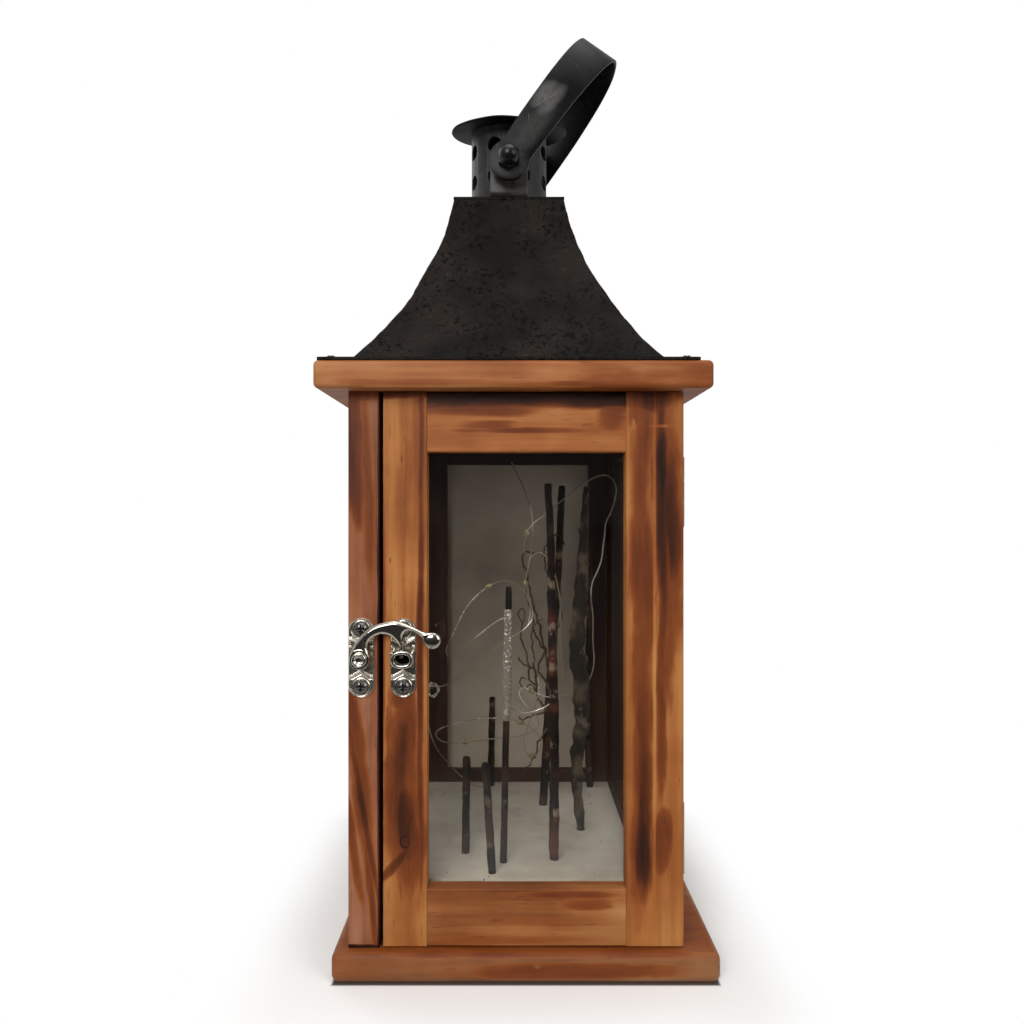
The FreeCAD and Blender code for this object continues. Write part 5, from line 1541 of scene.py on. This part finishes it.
@dataclass
class Roof:
    """The curved roof of hammered sheet, its plate and screws. Sizes in mm."""
    shift_x: float = -2.5
    base: float = 214.9
    brim: float = 65.8
    foot: float = 57.3
    neck: float = 22.1
    height: float = 72.5
    sheet: float = 1.0
    sag: float = 5.1
    corner: float = 1.3
    dent: float = 0.62
    even_foot: float = 1.5
    steps: int = 64
    side_steps: int = 56

    def slope(self, z: float, inward: float) -> float:
        """Returns the slope's distance from the middle at a height, moved in by inward."""
        rise = self.height - self.sheet
        run = self.neck - self.foot
        chord = math.hypot(run, rise)
        radius = (chord ** 2 / 4 + self.sag ** 2) / (2 * self.sag)
        centre_x = (self.foot + self.neck) / 2 + rise / chord * (radius - self.sag)
        centre_z = (self.sheet + self.height) / 2 - run / chord * (radius - self.sag)
        return centre_x - math.sqrt((radius + inward) ** 2 - (z - centre_z) ** 2)

    def build(self) -> None:
        """Makes and dresses the roof."""
        iron = BlackIron("roof_iron").material()
        plate = softened("roof_top_plate", 0.25)
        Piece("roof_sheet", "black_metal", ("roof_shell",)).from_mesh(self.shell(), iron, 70)
        Piece("roof_cap_plate", "black_metal", ("roof_top_plate",)).from_mesh(plate, iron)
        dress(BlackPaint("roof_screw_paint").material(), "roof_screws")

    def ring(self, half: float, z: float, dent: float = 0.0) -> list[Place]:
        """Makes one square ring with round corners and dents.

        Args:
            half: Its distance from the middle.
            z: Its height over the roof's foot.
            dent: How deep the dents are.

        Returns:
            The points in metres.
        """
        radius = min(self.corner, half / 4)
        flat = half - radius
        side = [(half, -flat + 2 * flat * i / self.side_steps) for i in range(self.side_steps)]
        angles = [math.pi / 8 * i for i in range(4)]
        side += [(flat + radius * math.cos(a), flat + radius * math.sin(a)) for a in angles]
        placed = []
        for turn in range(4):
            spin = Matrix.Rotation(math.pi / 2 * turn, 3, "Z")
            for x, y in side:
                point = spin @ Vector((x, y, 0))
                spot = Vector((point.x, point.y, z))
                large = noise.noise(spot * 0.055 + Vector((3.1, 7.7, 1.9)))
                small = noise.noise(spot * 0.22) * 0.6 + noise.noise(spot * 0.6) * 0.35
                push = 1 + (large * 1.1 + small * 0.55) * dent / half
                lift = noise.noise(Vector((point.x * 0.05, point.y * 0.05, 4.2))) * dent * 0.5
                lift = lift if z > self.even_foot else 0.0
                spot = (self.shift_x + point.x * push, point.y * push, self.base + z + lift)
                placed.append(tuple(part * MM for part in spot))
        return placed

    def skin(self, foot: float, inward: float) -> list[list[Place]]:
        """Returns the slope's rings from a height to the neck, for the outer skin or one inward of it."""
        rings = []
        for i in range(self.steps + 1):
            share = i / self.steps
            z = foot + (self.height - foot) * share
            dent = self.dent * min(1.0, share * 8, (1 - share) * 14)
            rings.append(self.ring(self.slope(z, inward), z, dent))
        return rings

    def shell(self) -> Mesh:
        """Makes the sheet's outer and inner skins as one closed mesh."""
        under, top = 0.02, self.sheet
        flat = ((self.brim, under), (self.brim, top), (self.brim - 4, top), (self.foot + 1.6, top))
        rings = [self.ring(half, z) for half, z in flat]
        rings += self.skin(self.sheet + 0.15, 0)
        rings += reversed(self.skin(under, self.sheet))
        return rings_mesh(rings, closed=True)


@dataclass
class Chimney:
    """The vented tube and its tilted cap. Sizes in mm."""
    middle: Pair = (-2.5, 0.0)
    cap_level: float = 324.0
    cap_radius: float = 24.4
    cap_thickness: float = 1.0
    cap_tilt: float = 11.6
    even_radius: float = 15.0
    even_fade: float = 6.0
    unevenness: float = 0.35

    def build(self) -> None:
        """Makes and dresses the tube and the cap."""
        paint = BlackPaint("chimney_paint", tone(34, 34, 34), wear=0.3, roughness=0.44).material()
        # The cap's paint is far darker than the tube's, partly a painted shade for its underside.
        dark = BlackPaint("cap_shade_paint", tone(5, 5, 5), wear=0.1, roughness=0.5, shine=0.08).material()
        for name, replaced, mesh, finish, sharp in (
            ("chimney_pipe", "chimney_tube", self.tube(), paint, 30),
            ("chimney_lid", "chimney_cap", self.cap(), dark, 60),
        ):
            Piece(name, "black_metal", (replaced,)).from_mesh(mesh, finish, sharp)

    def tilt(self) -> Matrix:
        """Returns the cap's place and tilt, in metres."""
        at = Vector((*self.middle, self.cap_level)) * MM
        return Matrix.Translation(at) @ Matrix.Rotation(math.radians(self.cap_tilt), 4, "X")

    def tube(self) -> Mesh:
        """Returns the CAD tube's mesh, cut to meet the cap's underside."""
        place = self.tilt()
        work = opened("chimney_tube")
        bmesh.ops.bisect_plane(
            work, geom=[*work.verts, *work.edges, *work.faces], dist=1e-7, plane_co=place.translation,
            plane_no=place.to_3x3() @ Vector((0, 0, 1)), clear_outer=True,
        )
        return mesh_from(work, "tube")

    def cap(self) -> Mesh:
        """Makes the cap: a slightly dished disc with a rounded rim that is a little uneven."""
        out, thick = self.cap_radius, self.cap_thickness
        profile = (
            (0.05, 0.0), (out * 0.6, 0.0), (out - 0.5, 0.0), (out - 0.15, 0.12), (out, 0.4), (out, 0.65),
            (out - 0.15, 0.9), (out - 0.5, thick), (out * 0.8, thick * 1.05), (out * 0.4, thick * 1.3),
            (0.05, thick * 1.4),
        )
        mesh = turned(profile, (0, 0, 0), Axis.Z, 96)
        for vertex in mesh.vertices:
            spot = vertex.co / MM
            share = min(1.0, max(0.0, (spot.xy.length - self.even_radius) / self.even_fade))
            vertex.co.z += noise.noise(spot * 0.09) * share * self.unevenness * MM
        mesh.transform(self.tilt())
        return mesh


@dataclass
class Bail:
    """The carrying bail with its brackets, bolts, spacers and cap nuts. Sizes in mm."""
    pivot: Pair = (-2.5, 301.0)
    reach: float = 27.4
    length: float = 68.0
    strap: float = 1.2
    exponent: float = 2.46
    ear: float = 8.0
    root_width: float = 13.0
    end_width: float = 16.5
    lean: float = 35.0
    hole: float = 2.75
    edge_round: float = 0.28
    waviness: float = 0.3
    steps: int = 120
    # Painted highlights on the near arm and the near ear; the thin mark at 12.2 is a scratch.
    scuffs_and_highlights: tuple[Mark, ...] = (
        Mark(11.6, 327.5, 3.4, 5, 0.42, 0.5), Mark(14.2, 325.0, 3.0, 6, 0.38, 0.6),
        Mark(12.2, 325.2, 0.16, 3.2, 0.9, 1.5), Mark(7.0, 313.0, 4.0, 9, 0.15, 0.6),
        Mark(-2.5, 300, 5.6, 5, 0.24),
    )

    def line(self) -> list[Pair]:
        """Returns the strap's middle line: across the roof and away from the pivot."""
        reach, length = self.reach - self.strap / 2, self.length - self.strap / 2
        power = 2 / self.exponent
        points = []
        for i in range(self.steps + 1):
            angle = math.pi * (0.5 - 0.5 * math.cos(math.pi * i / self.steps))
            across = math.copysign(abs(math.cos(angle)) ** power, math.cos(angle))
            points.append((-reach * across, length * max(0.0, math.sin(angle)) ** power))
        drops = [-self.ear * math.sin(math.pi / 2 * i / 24) for i in range(24, 0, -1)]
        return [*((-reach, u) for u in drops), *points, *((reach, u) for u in reversed(drops))]

    def half_width(self, away: float) -> float:
        """Returns the strap's half width at a distance from the pivot along the loop."""
        ear = math.sqrt(max(0.0, self.ear ** 2 - away ** 2))
        band = (self.root_width + (self.end_width - self.root_width) * away / self.length) / 2
        return max(ear, band if away > 0 else 0.05)

    def corners(self) -> list[tuple[int, int, float, float]]:
        """Returns the section's points: a corner's two signs, and how far from it the rounding is."""
        corners = []
        for quarter, (sx, sy) in enumerate(((1, -1), (1, 1), (-1, 1), (-1, -1))):
            for k in range(4):
                angle = math.radians(90 * (quarter - 1) + 30 * k)
                from_x, from_y = math.cos(angle) - sx, math.sin(angle) - sy
                corners.append((sx, sy, self.edge_round * from_x, self.edge_round * from_y))
        return corners

    def strap_mesh(self) -> Mesh:
        """Makes the strap with its two round ears, slightly uneven as forged strip is."""
        line = [Vector((0, y, u)) for y, u in self.line()]
        turn = Matrix.Rotation(math.radians(self.lean), 3, "Y")
        foot = (self.pivot[0], 0, self.pivot[1])
        rings = []
        for i, spot in enumerate(line):
            along = heading(line, i)
            out = Vector((0, along.z, -along.y))
            wide = max(0.3, self.half_width(spot.z))
            ring = []
            for sx, sy, dx, dy in self.corners():
                across = sx * wide + dx * min(1.0, wide)
                wave = noise.noise(Vector((across * 0.11, spot.y * 0.09, spot.z * 0.09))) * self.waviness
                wave *= min(1.0, max(0.0, (spot.z - self.ear) / self.ear))
                point = spot + Vector((across, 0, 0)) + out * (sy * self.strap / 2 + dy + wave)
                ring.append(tuple((turn @ point + Vector(foot)) * MM))
            rings.append(ring)
        return self.drilled(rings_mesh(rings), turned(((self.hole, -40), (self.hole, 40)), foot, Axis.Y, 32))

    def drilled(self, mesh: Mesh, drill: Mesh) -> Mesh:
        """Returns a mesh with the drill's shape cut out of it."""
        item = bpy.data.objects.new("strap", mesh)
        tool = linked(bpy.data.objects.new("drill", drill))
        cut = item.modifiers.new("hole", "BOOLEAN")
        cut.operation = "DIFFERENCE"
        cut.solver = "EXACT"
        cut.object = tool
        whole = applied(item)
        bpy.data.objects.remove(tool)
        return whole

    def build(self) -> None:
        """Makes and dresses the parts."""
        strap = BlackPaint(
            "bail_paint", tone(8, 8, 8), wear=0.14, roughness=0.3, shine=0.12, scuffs_and_highlights=self.scuffs_and_highlights,
        ).material()
        Piece("bail_strap", "black_metal", ("bail",), Body.BAIL).from_mesh(self.strap_mesh(), strap, 50)
        worn = BlackPaint("bracket_paint", tone(40, 37, 34), wear=0.6).material()
        glossy = BlackPaint("nut_paint", tone(10, 10, 10), wear=0.1, roughness=0.22).material()
        for name, replaced, width, segments, paint in (
            ("bail_uprights", "bail_brackets", 0.28, 2, worn),
            ("bail_domed_nuts", "bail_cap_nuts", 0.3, 3, glossy),
            ("bail_hex_spacers", "bail_spacers", 0.2, 2, glossy),
        ):
            mesh = softened(replaced, width, segments)
            Piece(name, "black_metal", (replaced,)).from_mesh(mesh, paint)
        dress(glossy, "bail_bolts")


ROOM_FOOT = (-47.8, -49.4, 30.4)
ROOM_SPAN = (93.6, 97.2, 174.8)


def in_room(shares: Place) -> Vector:
    """Returns a place in mm from its shares of the room over the bed: right, back and up."""
    return Vector([foot + share * span for foot, share, span in zip(ROOM_FOOT, shares, ROOM_SPAN)])


@dataclass(frozen=True)
class Limb:
    """One twig's line, as shares of the room over the bed, with its thickness, lumps, buds and belly.

    A bud has its place as a share of the length, the angle that it faces and its height.
    """
    shares: tuple[Place, ...]
    radius: float
    tip: float
    lump: float
    seed: int
    buds: tuple[tuple[float, float, float], ...] = ()
    belly: float = 0.0
    buried: float = 8.6

    def path(self) -> list[Vector]:
        """Returns the twig's middle line in mm, from its buried foot to its tip."""
        line = [in_room(shares) for shares in self.shares]
        down = (line[0] - line[1]).normalized()
        spots = [line[0] + down * self.buried, *line]
        return curve_through(spots, max(4, int(150 / len(spots))))

    def at_level(self, z: float) -> Vector:
        """Returns where a straight twig's middle line is at a height in mm."""
        foot, tip = in_room(self.shares[0]), in_room(self.shares[-1])
        return foot.lerp(tip, (z - foot.z) / (tip.z - foot.z))

    def mesh(self) -> Mesh:
        """Makes the twig."""
        path = self.path()
        lengths = [0.0]
        for a, b in zip(path, path[1:]):
            lengths.append(lengths[-1] + (b - a).length)
        whole = lengths[-1]
        rings = []
        for run, (spot, side, other) in zip(lengths, frames_along(path, Vector((1, 0, 0)))):
            share = run / whole
            slim = self.radius + (self.tip - self.radius) * share
            slim += self.belly * math.sin(math.pi * share) ** 1.5
            end = min(1.0, (whole - run) / (slim * 0.25) + 0.86)
            ring = []
            for k, way in enumerate(ways_round(side, other, 18)):
                rough = noise.noise(Vector((way.x * 1.1, way.y * 1.1, run * 0.16 + self.seed)))
                fine = noise.noise(Vector((way.x * 2.6, way.y * 2.6, run * 0.5 + self.seed * 3)))
                reach = slim * (1 + self.lump * rough + self.lump * 0.4 * fine) * end
                for at, facing, size in self.buds:
                    off = (run - at * whole) / (size * 1.4)
                    turn = math.cos(2 * math.pi * k / 18 - facing)
                    reach += size * math.exp(-off * off) * max(0.0, turn) ** 2
                ring.append(tuple((spot + way * reach) * MM))
            rings.append(ring)
        return rings_mesh(rings)


@dataclass(frozen=True)
class Shoot:
    """One thin curled shoot: its radius at the foot and where it runs, in mm."""
    radius: float
    points: tuple[Place, ...]
    wander: float = 0.9

    def mesh(self) -> Mesh:
        """Makes the shoot, thinner towards its tip and a little crooked."""
        path = curve_through([Vector(point) for point in self.points], 10)
        rings = []
        for i, (spot, side, other) in enumerate(frames_along(path, Vector((0, 1, 0)))):
            share = i / (len(path) - 1)
            crook = Vector([
                noise.noise(spot * 0.4 + Vector(offset)) for offset in ((0, 0, 0), (7, 0, 0), (0, 7, 0))
            ]) * min(1.0, share * 6) * self.wander
            reach = self.radius * (1 - 0.45 * share) * (1 + 0.35 * noise.noise(spot * 1.1))
            rings.append([tuple((spot + crook + way * reach) * MM) for way in ways_round(side, other, 8)])
        return rings_mesh(rings)


@dataclass
class Display:
    """The pale bed and the twigs that stand in it. Levels and radii in mm."""
    short: tuple[Limb, ...] = (
        Limb(((0.304, 0.213, 0), (0.308, 0.213, 0.212)), 1.55, 1.5, 0.16, 2),
        Limb(((0.418, 0.046, 0), (0.392, 0.046, 0.230)), 1.55, 1.4, 0.18, 5),
        Limb(((0.390, 0.950, 0), (0.397, 0.950, 0.244)), 1.55, 1.5, 0.16, 9),
    )
    wrapped: Limb = Limb(((0.462, 0.130, 0), (0.484, 0.130, 0.596)), 1.3, 1.2, 0.1, 12)
    sheath_levels: Pair = (84, 126)
    sheath_radii: Pair = (1.3, 1.58)
    sheath_rings: int = 120
    tall: Limb = Limb((
        (0.666, 0.157, 0), (0.670, 0.157, 0.181), (0.667, 0.155, 0.370), (0.658, 0.158, 0.524),
        (0.655, 0.157, 0.684), (0.643, 0.157, 0.820),
    ), 1.9, 1.35, 0.24, 15, (
        (0.16, 0.6, 0.7), (0.24, 3.4, 0.6), (0.40, 1.4, 0.7), (0.52, 3.9, 0.8), (0.60, 0.8, 0.7),
        (0.72, 2.6, 0.5),
    ))
    leaning: Limb = Limb((
        (0.649, 0.706, 0), (0.682, 0.706, 0.318), (0.719, 0.708, 0.581), (0.740, 0.706, 0.825),
    ), 1.9, 1.5, 0.2, 19, ((0.2, 0.9, 0.7), (0.4, 2.2, 0.6), (0.62, 4.4, 0.6)))
    knotty: Limb = Limb((
        (0.803, 0.436, 0), (0.787, 0.436, 0.140), (0.808, 0.434, 0.295), (0.787, 0.436, 0.427),
        (0.803, 0.438, 0.547), (0.816, 0.436, 0.684), (0.830, 0.436, 0.817),
    ), 1.5, 1.3, 0.4, 23, (
        (0.2, 0.3, 1.3), (0.27, 3.3, 1), (0.33, 0.2, 1.2), (0.41, 2.9, 1.2), (0.47, 0.1, 1.6),
        (0.53, 0.4, 1.6), (0.60, 3.1, 1.2), (0.66, 0, 1), (0.72, 3.3, 1.1), (0.79, 0.3, 0.9),
        (0.88, 3, 0.7),
    ), 1.6)
    back: Limb = Limb((
        (0.899, 0.935, 0), (0.887, 0.935, 0.160), (0.892, 0.935, 0.348), (0.902, 0.935, 0.514),
    ), 1.6, 1.4, 0.2, 29)
    shoots: tuple[Shoot, ...] = (
        Shoot(0.55, (
            (16.6, 19.2, 78), (14.4, 16.4, 86), (9.8, 13.2, 92), (5.4, 11, 95), (2.6, 10.2, 96.6),
            (1.8, 10, 99.2),
        )),
        Shoot(0.6, (
            (16.8, 19.2, 80), (14.6, 14, 94), (11.6, 9.2, 110), (8.2, 7.2, 122), (5.8, 6.4, 133),
            (3.4, 6, 143.4), (5.6, 6, 145.6), (8, 6.6, 144.6),
        )),
        Shoot(0.5, (
            (17.2, 19.2, 86), (16.6, 13.2, 98), (18.6, 9.8, 110), (20.6, 8.2, 118), (17.4, 7.4, 129),
            (14.2, 7, 137), (12.6, 6.6, 146),
        )),
        Shoot(0.5, (
            (15.6, 19.2, 66), (13, 16, 63), (10, 12.4, 59.3), (9.2, 11.4, 54.8), (6.2, 11, 51.7),
            (3.9, 11, 46.5),
        )),
        Shoot(0.5, (
            (16.2, 19.2, 74), (12, 15, 73.2), (6.4, 11.6, 72), (3, 10.6, 71.2), (1.2, 10.2, 73),
        )),
        Shoot(0.6, (
            (15.8, 19.2, 72), (12.2, 15.4, 76.6), (10.7, 13.6, 80.5), (9.2, 12, 86.5), (10.7, 11.4, 94.1),
            (13, 11, 100.9), (10.9, 10.6, 105), (8.4, 10.2, 110.7), (7.6, 10, 119),
            (5, 9.8, 126.6), (4.9, 9.6, 131.4),
        )),
        Shoot(0.45, (
            (9.4, 12, 86), (6.4, 12, 88.4), (6.2, 12, 94.1), (4.7, 12, 101.6), (2.4, 12, 107.7),
            (3.2, 12, 113), (1.5, 12, 117.5), (3.4, 11.6, 119.6), (4.8, 11.4, 116.4),
            (3.6, 11.4, 113),
        )),
        Shoot(0.45, (
            (10.2, 13, 84), (8.9, 13.8, 92), (8.6, 14, 98.6), (7.6, 14, 106.9), (9.2, 14, 113),
            (12.4, 14, 115.6),
        )),
        Shoot(0.4, (
            (10.6, 13.8, 80.6), (7.4, 12.6, 86), (4.7, 12.4, 84.4), (2.3, 12.2, 87.4), (3.2, 12, 89.8),
            (5, 12.2, 88.4),
        )),
        Shoot(0.45, ((22.6, 19.6, 148), (19.2, 15.6, 152.6), (15, 13.2, 149), (12.2, 12.4, 143.2))),
    )

    def build(self) -> None:
        """Makes and dresses the display."""
        dress(Foam("floor_foam").material(), "snow_bed")
        dark = Bark("dark_bark", tone(20, 13, 8), tone(64, 46, 32), patches=0.25).material()
        copper = Bark(
            "copper_bark", tone(11, 7, 5), tone(96, 50, 33), tone(142, 120, 102), 0.7,
            levels=(20, 140), knuckles=(135, 117.5, 104, 93.5, 74, 48.5),
        ).material()
        shoot = Bark("shoot_bark", tone(58, 46, 34), tone(92, 78, 60), patches=0.2).material()
        grey = Bark("grey_bark", tone(34, 28, 21), tone(100, 88, 70), tone(118, 106, 90), 0.4).material()
        silver = Glitter("glitter_sheath").material()
        for name, replaced, meshes, finish in (
            ("stub_twigs", ("short_twigs",), [limb.mesh() for limb in self.short], dark),
            ("slim_twig", ("wrapped_twig",), [self.wrapped.mesh()], dark),
            ("copper_twig", ("tall_twig",), [self.tall.mesh()], copper),
            ("dark_leaning_twig", ("leaning_twig",), [self.leaning.mesh()], dark),
            ("budded_twig", ("knotty_twig",), [self.knotty.mesh()], grey),
            ("rear_twig", ("back_twig",), [self.back.mesh()], dark),
            ("glitter_sheath", (), [self.sheath()], silver),
            ("curled_shoots", (), [line.mesh() for line in self.shoots], shoot),
        ):
            Piece(name, "bark", replaced).from_mesh(joined(meshes), finish, 70)

    def sheath(self) -> Mesh:
        """Makes the uneven silvery sheath round the wrapped twig."""
        low, high = self.sheath_levels
        inner, outer = self.sheath_radii
        rings = []
        for i in range(self.sheath_rings + 1):
            z = low + (high - low) * i / self.sheath_rings
            middle = self.wrapped.at_level(z)
            close = min(1.0, i / 4, (self.sheath_rings - i) / 4)
            ring = []
            for way in ways_round(Vector((1, 0, 0)), Vector((0, 1, 0)), 24):
                rough = noise.noise(Vector((way.x * 1.4, way.y * 1.4, z * 0.55)))
                fine = noise.noise(Vector((way.x * 3.2, way.y * 3.2, z * 1.7)))
                reach = inner + (outer - inner + 0.22 * rough + 0.14 * fine) * close
                ring.append(tuple((middle + way * reach) * MM))
            rings.append(ring)
        return rings_mesh(rings)


@dataclass
class LightString:
    """The light string from the battery box to its free end, with its resin drops. Sizes in mm."""
    wire_radius: float = 0.24
    drop_radius: float = 1.15
    bundle_radius: float = 2.3
    bundle_stretch: float = 1.25
    bundle_count: int = 15
    bundle_steps: int = 6
    bundle_pitch: float = 1.25
    bundle_centre: Place = (-33.7, -11.0, 89.2)
    wrap_radius: float = 1.85
    wrap_turns: int = 7
    wrap_steps: int = 4
    wrap_levels: Pair = (123.0, 90.0)
    wrap_start: float = 120.0
    to_bundle: tuple[Place, ...] = (
        (-12, 36, 17), (-12, 36, 24.5), (-12.1, 35.6, 31.2), (-15, 33.8, 33.4), (-18.4, 30.6, 34.2),
        (-23, 25, 39.6), (-29.6, 17.2, 49.2), (-34.9, 7.2, 60), (-37.1, -0.8, 71.9), (-37.2, -6.4, 80.6),
    )
    to_wrap: tuple[Place, ...] = (
        (-28.8, -13, 91.4), (-24.6, -12.2, 93.9), (-20.2, -12.4, 98.6), (-14.8, -13.8, 101.8),
        (-9.8, -16.8, 106.4), (-4.9, -18.8, 110.4), (0.3, -18.8, 113.2), (4.7, -18.8, 116.5),
        (7.6, -17.8, 120.3), (6, -17.8, 125.6), (3.9, -18.8, 131), (-0.1, -19.8, 134.3),
        (-5.3, -20.8, 135.6), (-10.5, -22.8, 133.4), (-14.8, -22.8, 130.2), (-19.3, -21.8, 125.3),
        (-22.5, -20.8, 119.2), (-25.3, -20.8, 112.8), (-27.9, -22.8, 107.9), (-26.1, -25.8, 105.3),
        (-20.9, -26.8, 109.1), (-14.6, -28.2, 114.6), (-8.8, -30.4, 119.6),
    )
    to_tip: tuple[Place, ...] = (
        (-0.9, -29.4, 86.2), (3.4, -26.6, 83.7), (8.9, -25.8, 84.9), (13.5, -26, 87.2), (18, -28.6, 92),
        (18.6, -30, 102), (17.2, -29, 113), (17.9, -28.6, 124.5), (16.4, -28.2, 136), (13, -27.4, 144.6),
        (9.5, -26, 147.6), (6.9, -25, 145), (4.2, -25.2, 145.3), (3, -26.2, 148.2), (3.8, -27.2, 151.2),
        (4.2, -28, 154.8), (7, -27.8, 158.6), (11, -26, 161.2), (15.2, -20.6, 164.5), (20.5, -12, 168.5),
        (26, -2.6, 172.4), (32, 3, 176.5), (38.3, 6.6, 179.3), (42.6, 7, 177.6), (44.2, 5.2, 173.3),
        (43.3, 3.2, 168.3), (41.5, 3, 162.6), (39.2, 4.8, 158.2), (39.3, 7, 153.2), (38.6, 8, 147.8),
        (38.3, 9, 142.2), (36.6, 10, 136.8), (34, 11, 131.6), (33.5, 11.2, 125.2), (34.8, 11, 116.2),
        (34.2, 10, 106), (35.2, 9, 96.2), (32.4, 7, 88.6), (26.6, 3.4, 85.2), (20, -0.6, 84),
        (13.5, -3, 84.2), (7.2, -5, 87.2), (3.2, -7.2, 90), (1.2, -9, 87.4), (4, -9.4, 83), (8.5, -9, 78.8),
        (10.6, -9.2, 74.2), (6.8, -10, 71.2), (1, -11, 70), (-6, -11.4, 69.7), (-13, -11, 68.8),
        (-20.5, -9.2, 67.3), (-26.5, -6.4, 65.7), (-31.8, -3.4, 65.9), (-34.3, -0.8, 68.2),
        (-31.8, 1.2, 70.2), (-26.5, 1.2, 71.7), (-19, 0.2, 74), (-12, -2, 75.3), (-4.5, -3.2, 75.6),
        (2.5, -4, 74.3), (8.2, -4.2, 71), (11.6, -3.2, 66.4), (10.8, -1.8, 60.8), (7.3, 0.2, 58),
        (4.2, 3.6, 59.4), (4.2, 7.2, 64.2), (6.5, 9.2, 70.8), (9.5, 9, 78.6), (10.8, 7.2, 87.4),
        (9, 5.2, 96.4), (6.2, 3, 105.2), (5.2, 1, 113.2), (6.8, -1.2, 120), (6.4, -3.2, 126.5),
        (4.2, -4.2, 132.2), (5.3, -4, 138.2), (7, -3.2, 145.6), (7.7, -2.2, 154), (7.3, -1.2, 162.4),
        (5, -0.8, 170.2), (2.2, 0, 176.6), (-1.5, 1, 184),
    )
    drops_before_wrap: tuple[int, ...] = (13,)
    drops_after_wrap: tuple[int, ...] = (15, 38, 41, 51, 60, 64, 75)
    drop_stretch: float = 1.35

    def bundle(self) -> list[Place]:
        """Returns the points of the small coil near the left glass."""
        x, y, z = self.bundle_centre
        points = []
        for i in range(self.bundle_count):
            angle = math.pi - 2 * math.pi * i / self.bundle_steps
            along = self.bundle_pitch * (self.bundle_count / 2 - i) / self.bundle_steps
            radius = self.bundle_radius * (1 + 0.3 * math.sin(1.7 * i))
            points.append((
                x + radius * math.cos(angle) + 0.5 * math.sin(2.9 * i), y + along,
                z + self.bundle_stretch * radius * math.sin(angle),
            ))
        return points

    def wrap(self, limb: Limb) -> list[Place]:
        """Returns the points of the turns round the wrapped twig."""
        top, low = self.wrap_levels
        count = self.wrap_turns * self.wrap_steps
        points = []
        for i in range(count + 1):
            z = top + (low - top) * i / count
            middle = limb.at_level(z)
            angle = math.radians(self.wrap_start) + 2 * math.pi * i / self.wrap_steps
            across, deep = self.wrap_radius * math.cos(angle), self.wrap_radius * math.sin(angle)
            points.append((middle.x + across, middle.y + deep, z))
        return points

    def curve(self, points: Sequence[Place], radius_mm: float) -> Object:
        """Makes a curve through the route.

        Args:
            points: The route in mm.
            radius_mm: The wire's radius, or 0 for its bare line.

        Returns:
            The curve's object, not yet in the scene.
        """
        data = bpy.data.curves.new("light_wire", "CURVE")
        data.dimensions = "3D"
        data.resolution_u = 8
        data.bevel_depth = radius_mm * MM
        data.bevel_resolution = 3
        data.use_fill_caps = True
        line = data.splines.new("NURBS")
        line.points.add(len(points) - 1)
        for spot, point in zip(line.points, points):
            spot.co = (*(c * MM for c in point), 1.0)
        line.order_u = 3
        line.use_endpoint_u = True
        return bpy.data.objects.new("light_wire", data)

    def build(self) -> None:
        """Makes the wire and its drops."""
        coil = self.bundle()
        points = [*self.to_bundle, *coil, *self.to_wrap, *self.wrap(Display().wrapped), *self.to_tip]
        wire = self.curve(points, self.wire_radius)
        Piece("light_wire", "bare_wire", ("light_string",)).settle(
            wire, BareWire("bare_wire").material(),
        )
        line = applied(self.curve(points, 0))
        middles = [vertex.co.copy() for vertex in line.vertices]
        bpy.data.meshes.remove(line)
        places = [coil[self.bundle_count // 2]]
        places += [self.to_wrap[i] for i in self.drops_before_wrap]
        places += [self.to_tip[i] for i in self.drops_after_wrap]
        drops = []
        for place in places:
            wanted = Vector(place) * MM
            nearest = min(range(len(middles)), key=lambda i: (middles[i] - wanted).length)
            drops.append(self.drop(middles[nearest], heading(middles, nearest)))
        Piece("resin_drops", "clear_resin", ("light_drops",)).from_mesh(
            joined(drops), Resin("clear_resin").material(), 70,
        )

    def drop(self, middle: Vector, along: Vector) -> Mesh:
        """Makes one resin drop at a place in metres, drawn out along the wire."""
        side = along.orthogonal().normalized()
        ways = ways_round(side, along.cross(side), 20)
        rings = []
        for i in range(1, 16):
            angle = math.pi * i / 16
            reach = self.drop_radius * math.sin(angle) ** 1.15 * 0.8 + self.wire_radius * 0.6
            far = -self.drop_radius * self.drop_stretch * math.cos(angle)
            rings.append([tuple(middle + (along * far + way * reach) * MM) for way in ways])
        return rings_mesh(rings)


@dataclass
class BatteryBox:
    """The battery box under the bed, with its cells, contacts, cover and switch."""

    def build(self) -> None:
        """Dresses the box."""
        dress(Plastic("box_plastic", tone(226, 224, 218)).material(), "battery_box", "battery_cover")
        dress(Plastic("knob_plastic", tone(44, 44, 46)).material(), "switch_knob")
        dress(CellJacket("cell_jacket", 0.026).material(), "battery_cells")
        dress(STEEL.material(), "battery_contacts")


def main() -> None:
    """Builds and dresses the lantern, and sets the studio."""
    logging.basicConfig(level=logging.INFO, format="%(name)s: %(message)s")
    Studio().build()
    Case().build()
    Door().build()
    Latch().build()
    Roof().build()
    Chimney().build()
    Bail().build()
    Display().build()
    LightString().build()
    BatteryBox().build()


if __name__ == "__main__":
    main()
